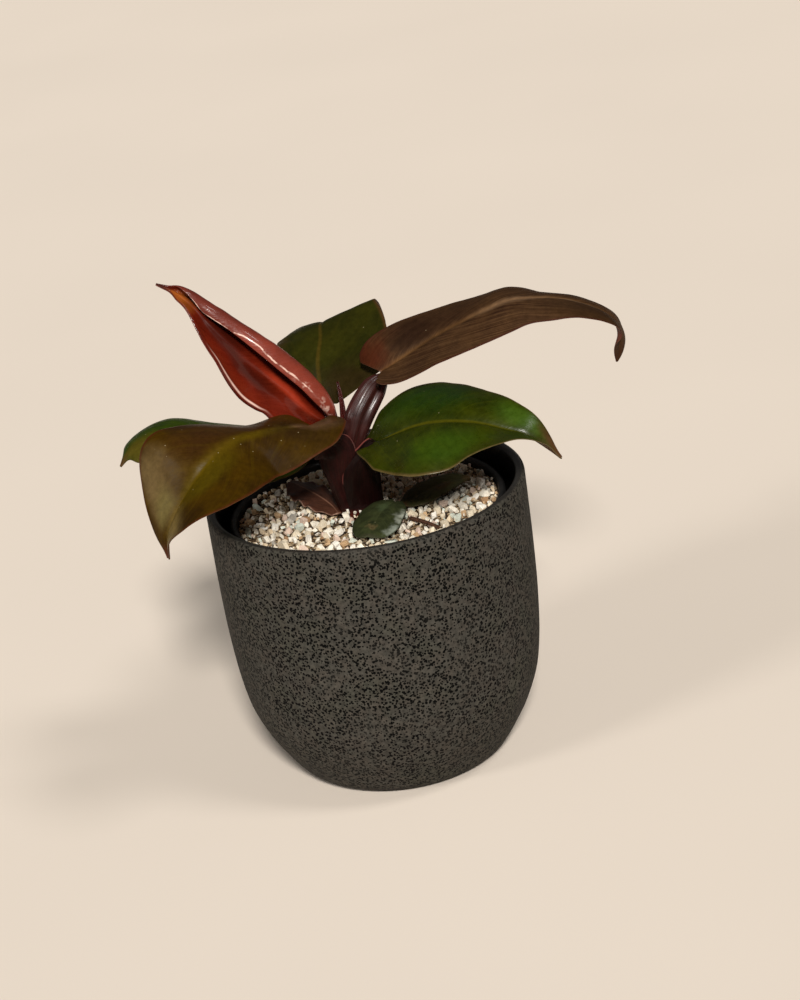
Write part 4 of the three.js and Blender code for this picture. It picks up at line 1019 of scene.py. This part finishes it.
def blade_piece(name, leaf, rows, columns, settings, ripple):
    """A leaf blade: a sunk midrib above, a raised rib below, swollen skin between its veins, a thin edge."""
    look = LOOKS[name]
    piece, u, v = grid_piece(rows, columns)
    skins = [
        leaf_material(name + "_skin", look), leaf_back_material(name + "_back", look),
        dry_material(name + "_edge", look["margin"], look["streak"])]
    for skin in skins:
        piece.data.materials.append(skin)
    points, width = blade_points(leaf, u, v)
    set_points(piece.data, points * MM)
    reach = np.abs(v)
    distance = reach * width
    arched = np.sin(math.pi * u)
    tip_fade = np.clip((1 - u) / TIP_FADE, 0, 1)
    groove = -settings.groove * np.exp(-((distance / GROOVE_REACH) ** 2)) * tip_fade
    phase = math.tau * look["veins"] * (u - look["lean"] * reach ** VEIN_ARCH)
    swell = settings.pleat * (1 - np.cos(phase)) * np.sin(math.pi * np.clip(reach, 0, 1)) * tip_fade
    uneven, fine = [
        np.array([noise.noise(Vector(p) / size) for p in points]) * height for size, height in UNEVENNESS]
    wavy = ripple * np.sin(math.tau * (RIPPLES * u + 0.3 * np.sign(v))) * reach ** 4 * arched
    relief = groove + swell + (uneven * arched * reach + fine + wavy) * MM * tip_fade
    set_points(piece.data, mesh_points(piece.data) + mesh_normals(piece.data) * relief[:, None])
    apply_modifier(
        piece, "SOLIDIFY", thickness=settings.thickness, offset=0.0, use_even_offset=False,
        material_offset=1, material_offset_rim=2)
    # The solidified copy follows the first sheet's points, so the second half of them is the back
    points = mesh_points(piece.data)
    count = len(u)
    front, back = points[:count].copy(), points[count:].copy()
    down = back - front
    down /= np.linalg.norm(down, axis=1)[:, None]
    rib = settings.rib * np.exp(-((distance / RIB_REACH) ** 2)) * np.clip(1.1 - u, 0, 1)
    thin = np.clip((reach - EDGE_START) / (1 - EDGE_START), 0, 1) * EDGE_THINNING * MM
    bead = settings.bead * np.exp(-(((reach - BEAD_PLACE) / BEAD_REACH) ** 2)) * (v < 0) * ("ridge" in leaf)
    points[:count] = front + down * (thin - bead)[:, None]
    points[count:] = back + down * (rib - thin)[:, None]
    set_points(piece.data, points)
    apply_modifier(piece, "SUBSURF", levels=1, render_levels=1)
    activate(piece)
    bpy.ops.object.shade_smooth()
    return piece


def turned_piece(profile, steps):
    """A body turned about Z: the profile, in mm, is drawn as a chain of edges and spun."""
    deselect()
    bpy.ops.mesh.primitive_plane_add(size=MM)
    piece = bpy.context.object
    corners = [Vector((radius * MM, 0, height * MM)) for radius, height in profile]
    bpy.ops.object.mode_set(mode="EDIT")
    bpy.ops.mesh.select_all(action="SELECT")
    bpy.ops.mesh.merge(type="CENTER")
    bpy.ops.transform.translate(value=corners[0])
    for start, end in zip(corners, corners[1:]):
        bpy.ops.mesh.extrude_region_move(TRANSFORM_OT_translate={"value": end - start})
    bpy.ops.mesh.select_all(action="SELECT")
    bpy.ops.mesh.spin(steps=steps, angle=math.tau, center=(0, 0, 0), axis=(0, 0, 1))
    bpy.ops.mesh.select_all(action="SELECT")
    bpy.ops.mesh.remove_doubles(threshold=WELD / 10)
    leave_edit(TURNED_ANGLE)
    return piece


def assign(piece, index, test):
    """Gives a material index to the faces whose centre and normal pass the test."""
    for face in piece.data.polygons:
        if test(face.center, face.normal):
            face.material_index = index


def arc(centre, radius, start, end, steps):
    """Points on a circle in the profile plane, from one angle in degrees to another."""
    angles = [math.radians(start + (end - start) * i / steps) for i in range(steps + 1)]
    return [(centre[0] + radius * math.cos(a), centre[1] + radius * math.sin(a)) for a in angles]


class MakePlanter(bpy.types.Operator):
    """Turns the speckled stoneware planter with its rounded lip and black inside"""
    bl_idname = "plant.make_planter"
    bl_label = "Planter"

    def execute(self, context):
        settings = context.scene.planter
        height, rim, wall, floor = [
            value / MM for value in (settings.height, settings.rim_radius, settings.wall, settings.floor)]
        stations = [(0, FOOT_RADIUS + FOOT_EDGE)]
        stations += [(share * height, radius * rim) for share, radius in PLANTER_BELLY]
        stations += [(height, rim)]
        lip = wall / 2
        shares = (np.arange(BELLY_ROWS + 1) / BELLY_ROWS) ** BELLY_CROWDING
        low = floor + FLOOR_CORNER
        outer = FOOT_EDGE + (height - lip - FOOT_EDGE) * shares
        inner = low + (height - lip - low) * shares[::-1]
        profile = [(0, FOOT_HOLLOW), (FOOT_RADIUS - FOOT_RING - 1, FOOT_HOLLOW), (FOOT_RADIUS - FOOT_RING, 0)]
        profile += [(FOOT_RADIUS, 0), *zip(keyed(outer, stations), outer)]
        profile += arc((rim - lip, height - lip), lip, 15, 165, 10)
        profile += zip(keyed(inner, stations) - wall, inner)
        corner = keyed(np.array([low]), stations)[0] - wall
        profile += arc((corner - FLOOR_CORNER, low), FLOOR_CORNER, -20, -90, 4)
        profile += [(0, floor)]
        planter = turned_piece(profile, PLANTER_STEPS)
        edge = (height - lip) * MM
        crest = (rim - 0.25 * wall) * MM
        # The glaze covers the inside faces, up to the inner half of the lip
        assign(planter, 1, lambda place, normal: (
            place.z > floor * MM - MM and math.hypot(place.x, place.y) < crest
            and (place.z > edge or normal.x * place.x + normal.y * place.y < 0 or normal.z > 0.9)))
        materials = [stoneware_material(settings.clay, settings.speck), liner_material()]
        finish_piece(planter, "planter_stoneware", materials, "planter")
        return {"FINISHED"}


class MakeNurseryPot(bpy.types.Operator):
    """Turns the thin black nursery pot with its rolled rim and cuts its drain holes"""
    bl_idname = "plant.make_nursery_pot"
    bl_label = "Nursery pot"

    def execute(self, context):
        inside_floor = NURSERY_FOOT + NURSERY_WALL
        base_inner = NURSERY_BASE_RADIUS - NURSERY_WALL
        top_inner = NURSERY_RIM_RADIUS - NURSERY_RIM_PROUD - NURSERY_WALL
        band = NURSERY_TOP - NURSERY_RIM_DEPTH

        def inner(z):
            return base_inner + (top_inner - base_inner) * (z - inside_floor) / (NURSERY_TOP - inside_floor)

        roll = (NURSERY_RIM_RADIUS - top_inner) / 2
        edge = NURSERY_RIM_EDGE
        profile = [(0, NURSERY_FOOT), (NURSERY_BASE_RADIUS - 1, NURSERY_FOOT)]
        profile += [(NURSERY_BASE_RADIUS, NURSERY_FOOT + 1)]
        profile += [(inner(z) + NURSERY_WALL, z) for z in (*NURSERY_ROWS, band)]
        profile += arc((NURSERY_RIM_RADIUS - edge, band + edge), edge, -90, 0, 4)
        profile += arc((NURSERY_RIM_RADIUS - roll, NURSERY_TOP - roll), roll, 0, 180, 12)
        profile += [(inner(z), z) for z in (*reversed(NURSERY_ROWS), inside_floor + 1)]
        profile += [(inner(inside_floor) - 1, inside_floor), (0, inside_floor)]
        pot = turned_piece(profile, NURSERY_STEPS)
        for i in range(DRAIN_HOLES):
            angle = math.tau * i / DRAIN_HOLES
            cut_hole(pot, 24, DRAIN_RADIUS, 6, (
                DRAIN_CIRCLE * math.cos(angle), DRAIN_CIRCLE * math.sin(angle), NURSERY_FOOT))
        activate(pot)
        bpy.ops.object.shade_smooth_by_angle(angle=math.radians(TURNED_ANGLE))
        finish_piece(pot, "nursery_pot_black", [nursery_material()], "nursery_pot")
        return {"FINISHED"}


class DressPottingMix(bpy.types.Operator):
    """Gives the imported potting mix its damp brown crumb"""
    bl_idname = "plant.dress_potting_mix"
    bl_label = "Potting mix"

    def execute(self, context):
        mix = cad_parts["potting_mix"]
        material = potting_mix_material()
        for slot in mix.material_slots:
            slot.material = material
        return {"FINISHED"}


class MakeLeaves(bpy.types.Operator):
    """Models the six large leaves, each with its own colours and veins"""
    bl_idname = "plant.make_leaves"
    bl_label = "Leaves"

    def execute(self, context):
        settings = context.scene.leaves
        slots = {
            "leaf_long_right": "bronze_leaf", "leaf_front_right": "green_leaf",
            "leaf_front_left": "olive_leaf", "leaf_back_left": "green_leaf", "leaf_back": "green_leaf",
            "leaf_new_red": "red_leaf",
        }
        for node, slot in slots.items():
            columns = settings.columns * 3 // 2 if node == "leaf_new_red" else settings.columns
            blade = blade_piece(node, LEAVES[node], settings.rows, columns, settings, LEAF_RIPPLE)
            finish_piece(blade, node + "_blade", [], node)
        return {"FINISHED"}


class MakeLowLeaves(bpy.types.Operator):
    """Models the two small leaves that lie on the grit and the dry bract"""
    bl_idname = "plant.make_low_leaves"
    bl_label = "Low leaves"

    def execute(self, context):
        settings = context.scene.leaves
        slots = {
            "small_leaf_front": "small_green_leaf", "small_leaf_right": "dry_leaf", "dry_bract": "dry_leaf",
        }
        for node, slot in slots.items():
            blade = blade_piece(
                node, LOW_LEAVES[node], settings.rows // 3, settings.columns // 2, settings,
                BRACT_RIPPLE if node == "dry_bract" else LOW_RIPPLE)
            finish_piece(blade, node + "_blade", [], node)
        return {"FINISHED"}


def stalk_piece(stalk, rings, sides):
    """A stalk with an oval, channelled section; its UV runs round and along, with the seam at the back."""
    piece, along, around = grid_piece(rings, sides)
    angle = math.pi / 2 - math.pi * around
    face = np.tile(np.array(stalk["face"], float), (len(along), 1))
    point, forward, up, side = frame_at(stalk["path"], face, along)
    width, depth = keyed(along, stalk["width"]), keyed(along, stalk["depth"])
    place, channel_width, channel_depth = stalk["channel"]
    x, y = np.cos(angle), np.sin(angle)
    dip = channel_depth * np.exp(-(((x - place) / channel_width) ** 2)) * (y > 0) * np.abs(y)
    ribs = STALK_RIB_HEIGHT * np.cos(STALK_RIBS * angle + 3 * along)
    # A sheath ends in a thin wing along its left side
    wing = stalk.get("wing", 0) * np.exp(-(((x + 1) / 0.01) ** 2))
    out = x * (width + ribs) - wing
    rise = y * (depth + ribs) - dip
    set_points(piece.data, (point + side * out[:, None] + up * rise[:, None]) * MM)
    activate(piece)
    bpy.ops.object.mode_set(mode="EDIT")
    bpy.ops.mesh.select_all(action="SELECT")
    bpy.ops.mesh.remove_doubles(threshold=WELD)
    bpy.ops.mesh.select_all(action="DESELECT")
    bpy.ops.mesh.select_non_manifold()
    bpy.ops.mesh.fill_holes(sides=0)
    leave_edit(STALK_ANGLE)
    return piece


class MakeCrown(bpy.types.Operator):
    """Models the clasping stalks, the young spear and the short neck, grown together"""
    bl_idname = "plant.make_crown"
    bl_label = "Crown"

    def execute(self, context):
        skins = {name: stalk_material(*skin) for name, skin in STALK_SKINS.items()}
        parts = []
        for stalk in STALKS:
            part = stalk_piece(stalk, STALK_RINGS, STALK_SIDES)
            part.data.materials.append(skins[stalk["skin"]])
            parts.append(part)
        neck = turned_piece(NECK, NECK_STEPS)
        shift = Matrix.Translation(Vector((*CROWN_CENTRE, 0)) * MM)
        neck.data.transform(shift @ Matrix.Diagonal(NECK_SQUASH))
        neck.data.materials.append(skins["sheath"])
        activate(neck)
        for part in parts:
            part.select_set(True)
        bpy.ops.object.join()
        finish_piece(context.object, "crown_stalks", [], "crown")
        return {"FINISHED"}


def grit_height(x, y):
    """Height of the grit's mean surface in mm: the CAD solid's mound, heaped a little against the crown."""
    radius = math.hypot(x, y) / NURSERY_RIM_RADIUS
    ripple = math.sin(x * 0.9 + 2) * math.cos(y * 0.8) + math.sin(x * 0.35 - y * 0.5)
    from_crown = math.hypot(x - CROWN_CENTRE[0], y - CROWN_CENTRE[1])
    heap = HEAP_HEIGHT * math.exp(-(from_crown / HEAP_REACH) ** 4)
    return GRIT_TOP + GRIT_MOUND * (1 - radius * radius) + GRIT_RELIEF * ripple / 2 + heap


def stone_mesh(stream, name):
    """An angular stone of unit radius: a cube with random corners cut off flat."""
    deselect()
    bpy.ops.mesh.primitive_cube_add(size=1.5)
    stone = bpy.context.object
    bpy.ops.object.mode_set(mode="EDIT")
    for _ in range(STONE_CUTS):
        direction = Vector([stream.gauss(0, 1) for _ in range(3)]).normalized()
        bpy.ops.mesh.select_all(action="SELECT")
        bpy.ops.mesh.bisect(
            plane_co=direction * stream.uniform(0.55, 0.8), plane_no=direction, use_fill=True,
            clear_outer=True)
    bpy.ops.mesh.select_all(action="SELECT")
    bpy.ops.mesh.quads_convert_to_tris()
    leave_edit()
    mesh = stone.data
    mesh.name = name
    bpy.data.objects.remove(stone)
    return mesh


class MakeGrit(bpy.types.Operator):
    """Packs angular grains over a bed of fines, coarse ones first, clear of the plant"""
    bl_idname = "plant.make_grit"
    bl_label = "Grit"

    def execute(self, context):
        settings = context.scene.grit
        stream = random.Random(settings.seed)
        kinds = [stone_mesh(stream, f"stone_kind_{i}") for i in range(STONE_KINDS)]
        verts, faces, tones = [], [], []
        for x, y, z, size, tone in self.place_grains(stream, settings):
            kind = kinds[stream.randrange(len(kinds))]
            turn = Euler([stream.uniform(0, math.tau) for _ in range(3)]).to_matrix().to_4x4()
            squash = Matrix.Diagonal((1, stream.uniform(0.55, 0.95), stream.uniform(0.35, 0.75), 1))
            move = Matrix.Translation((x, y, z)) @ turn @ squash @ Matrix.Scale(size, 4)
            start = len(verts)
            verts += [(move @ vertex.co) * MM for vertex in kind.vertices]
            faces += [[start + i for i in face.vertices] for face in kind.polygons]
            tones += [tone] * len(kind.polygons)
        mesh = bpy.data.meshes.new("grains")
        mesh.from_pydata(verts, [], faces)
        mesh.update()
        attribute = mesh.attributes.new("grain_tone", "FLOAT", "FACE")
        attribute.data.foreach_set("value", tones)
        stones = bpy.data.objects.new("grains", mesh)
        context.scene.collection.objects.link(stones)
        mesh.materials.append(grit_material())
        bed = self.make_bed()
        activate(stones)
        bed.select_set(True)
        bpy.ops.object.join()
        for kind in kinds:
            bpy.data.meshes.remove(kind)
        finish_piece(stones, "grit_grains", [], "grit")
        return {"FINISHED"}

    def low_points(self):
        """Points in mm under the small leaves, which the grains stay below."""
        u, v = [values.ravel() for values in np.meshgrid(np.linspace(0, 1, 30), np.linspace(-1, 1, 15))]
        return np.vstack([blade_points(leaf, u, v)[0] for leaf in LOW_LEAVES.values()])

    def place_grains(self, stream, settings):
        """Places from coarse to fine, none nearer than their sizes allow: x, y, z, radius and tone."""
        low = self.low_points()
        grains = [(x, y, grit_height(x, y) + 0.5, radius, tone) for x, y, radius, tone in FOOT_GRAINS]
        cells = {}
        largest, smallest = settings.largest / MM, settings.smallest / MM
        cell = 2 * largest
        # Radius in mm, number of tries
        sizes = [(3.6, 8), (largest, 130), (2.3, 380), (1.8, 1000), (1.4, 2000), (smallest, 2500)]
        for size, tries in sizes:
            for _ in range(tries):
                radius = size * stream.uniform(0.85, 1.15)
                reach = (BED_RADIUS - radius * 0.8) * math.sqrt(stream.random())
                angle = stream.uniform(0, math.tau)
                x, y = reach * math.cos(angle), reach * math.sin(angle)
                # Clear of the neck
                off_x, off_y = x - CROWN_CENTRE[0], y - CROWN_CENTRE[1]
                if math.hypot(off_x / NECK_CLEARANCE[0], off_y / NECK_CLEARANCE[1]) < 1 + 0.08 * radius:
                    continue
                # Clear of the grains in this cell and the eight around it
                key = (int(x // cell), int(y // cell))
                near = [
                    other for i in (-1, 0, 1) for j in (-1, 0, 1)
                    for other in cells.get((key[0] + i, key[1] + j), [])]
                if any(math.hypot(x - o[0], y - o[1]) < GRAIN_SPACING * (radius + o[3]) for o in near):
                    continue
                # Partly sunk, and below any leaf above it
                z = grit_height(x, y) - radius * stream.uniform(0.3, 0.55)
                over = low[(np.abs(low[:, 0] - x) < radius + 1) & (np.abs(low[:, 1] - y) < radius + 1)]
                if len(over):
                    z = min(z, over[:, 2].min() - 0.8 - radius * 0.8)
                grain = (x, y, z, radius, stream.random())
                grains.append(grain)
                cells.setdefault(key, []).append(grain)
        return grains

    def make_bed(self):
        """A disc of fines under the grains, with a hole for the neck."""
        deselect()
        top = GRIT_TOP - BED_DEPTH
        bpy.ops.mesh.primitive_cylinder_add(
            vertices=64, radius=BED_RADIUS * MM, depth=(top - GRIT_FOOT) * MM,
            location=(0, 0, (top + GRIT_FOOT) / 2 * MM))
        bed = bpy.context.object
        bpy.ops.object.transform_apply(location=True)
        cut_hole(bed, 40, BED_HOLE, 40, (*CROWN_CENTRE, GRIT_TOP), BED_HOLE_SQUASH)
        bed.data.materials.append(fines_material())
        return bed


class MakeTwig(bpy.types.Operator):
    """Models the bit of dead twig on the grit"""
    bl_idname = "plant.make_twig"
    bl_label = "Twig"

    def execute(self, context):
        sizes = [(0, TWIG_RADIUS), (0.4, TWIG_RADIUS * 0.85), (1, TWIG_RADIUS * 0.8)]
        twig = stalk_piece({
            "path": TWIG_PATH, "face": (0, 0, 1), "width": sizes, "depth": sizes, "channel": (0.2, 0.3, 0.3),
        }, TWIG_RINGS, TWIG_SIDES)
        finish_piece(twig, "twig_bark", [dry_material("dead_bark", "#26160f", "#5e3e2c")], "twig")
        return {"FINISHED"}


class MakeCamera(bpy.types.Operator):
    """Places the camera above the front, rolled as the photograph is"""
    bl_idname = "plant.make_camera"
    bl_label = "Camera"

    def execute(self, context):
        settings = context.scene.stage
        tilt, roll = settings.elevation, settings.roll
        forward = Vector((0, math.cos(tilt), -math.sin(tilt)))
        level = Vector((1, 0, 0))
        upright = level.cross(forward)
        right = level * math.cos(roll) - upright * math.sin(roll)
        up = level * math.sin(roll) + upright * math.cos(roll)
        bpy.ops.object.camera_add()
        camera = context.object
        camera.name = "camera"
        camera.matrix_world = Matrix.Translation(CAMERA_TARGET - forward * settings.distance) @ Matrix(
            (right, up, -forward)).transposed().to_4x4()
        camera.data.lens = settings.lens
        camera.data.sensor_width = SENSOR_WIDTH
        context.scene.camera = camera
        return {"FINISHED"}


class MakeStage(bpy.types.Operator):
    """Lays the pale floor and hangs the soft lights"""
    bl_idname = "plant.make_stage"
    bl_label = "Stage"

    def execute(self, context):
        settings = context.scene.stage
        deselect()
        bpy.ops.mesh.primitive_plane_add(size=FLOOR_SIZE)
        floor = context.object
        floor.name = "floor"
        floor.data.materials.append(board_material(tuple(settings.floor)))
        for name, place, spread, share, colour in LIGHTS:
            self.hang_light(name, place, spread, settings.key * share, colour)
        world = bpy.data.worlds.new("soft_room")
        world.use_nodes = True
        background = world.node_tree.nodes["Background"]
        background.inputs["Color"].default_value = linear("#f4efe8")
        background.inputs["Strength"].default_value = WORLD_STRENGTH
        context.scene.world = world
        context.scene.view_settings.view_transform = "Standard"
        return {"FINISHED"}

    def hang_light(self, name, place, spread, power, colour):
        """A far, broad and even light, spread wide in degrees, that shines on the plant from a place."""
        bpy.ops.object.light_add(type="SUN", location=place)
        light = bpy.context.object
        light.name = name
        light.data.angle = math.radians(spread)
        light.data.energy = power
        light.data.color = linear(colour)[:3]
        look = LIGHT_TARGET - Vector(place)
        light.rotation_euler = look.to_track_quat("-Z", "Y").to_euler()


class PlantPanel(bpy.types.Panel):
    """The operators and their settings"""
    bl_idname = "VIEW3D_PT_plant"
    bl_label = "Potted Philodendron"
    bl_space_type = "VIEW_3D"
    bl_region_type = "UI"
    bl_category = "Plant"

    def draw(self, context):
        for operator in OPERATORS:
            self.layout.operator(operator.bl_idname)
        for group in (context.scene.planter, context.scene.leaves, context.scene.grit, context.scene.stage):
            box = self.layout.box()
            for name in group.bl_rna.properties.keys():
                if name not in ("rna_type", "name"):
                    box.prop(group, name)


OPERATORS = [
    MakeCamera, MakePlanter, MakeNurseryPot, DressPottingMix, MakeLeaves, MakeLowLeaves, MakeCrown, MakeGrit,
    MakeTwig, MakeStage,
]
GROUPS = {
    "planter": PlanterSettings, "leaves": LeafSettings, "grit": GritSettings, "stage": StageSettings,
}


def register():
    """Registers the settings, the operators and the panel."""
    for group in GROUPS.values():
        bpy.utils.register_class(group)
    for name, group in GROUPS.items():
        setattr(bpy.types.Scene, name, bpy.props.PointerProperty(type=group))
    for operator in OPERATORS:
        bpy.utils.register_class(operator)
    bpy.utils.register_class(PlantPanel)


def unregister():
    """Takes them away again, last first."""
    bpy.utils.unregister_class(PlantPanel)
    for operator in reversed(OPERATORS):
        bpy.utils.unregister_class(operator)
    for name, group in GROUPS.items():
        delattr(bpy.types.Scene, name)
        bpy.utils.unregister_class(group)


def main():
    """Builds the camera, the pieces and the stage."""
    register()
    bpy.ops.plant.make_camera()
    bpy.ops.plant.make_planter()
    bpy.ops.plant.make_nursery_pot()
    bpy.ops.plant.dress_potting_mix()
    bpy.ops.plant.make_leaves()
    bpy.ops.plant.make_low_leaves()
    bpy.ops.plant.make_crown()
    bpy.ops.plant.make_grit()
    bpy.ops.plant.make_twig()
    bpy.ops.plant.make_stage()


if __name__ == "__main__":
    main()
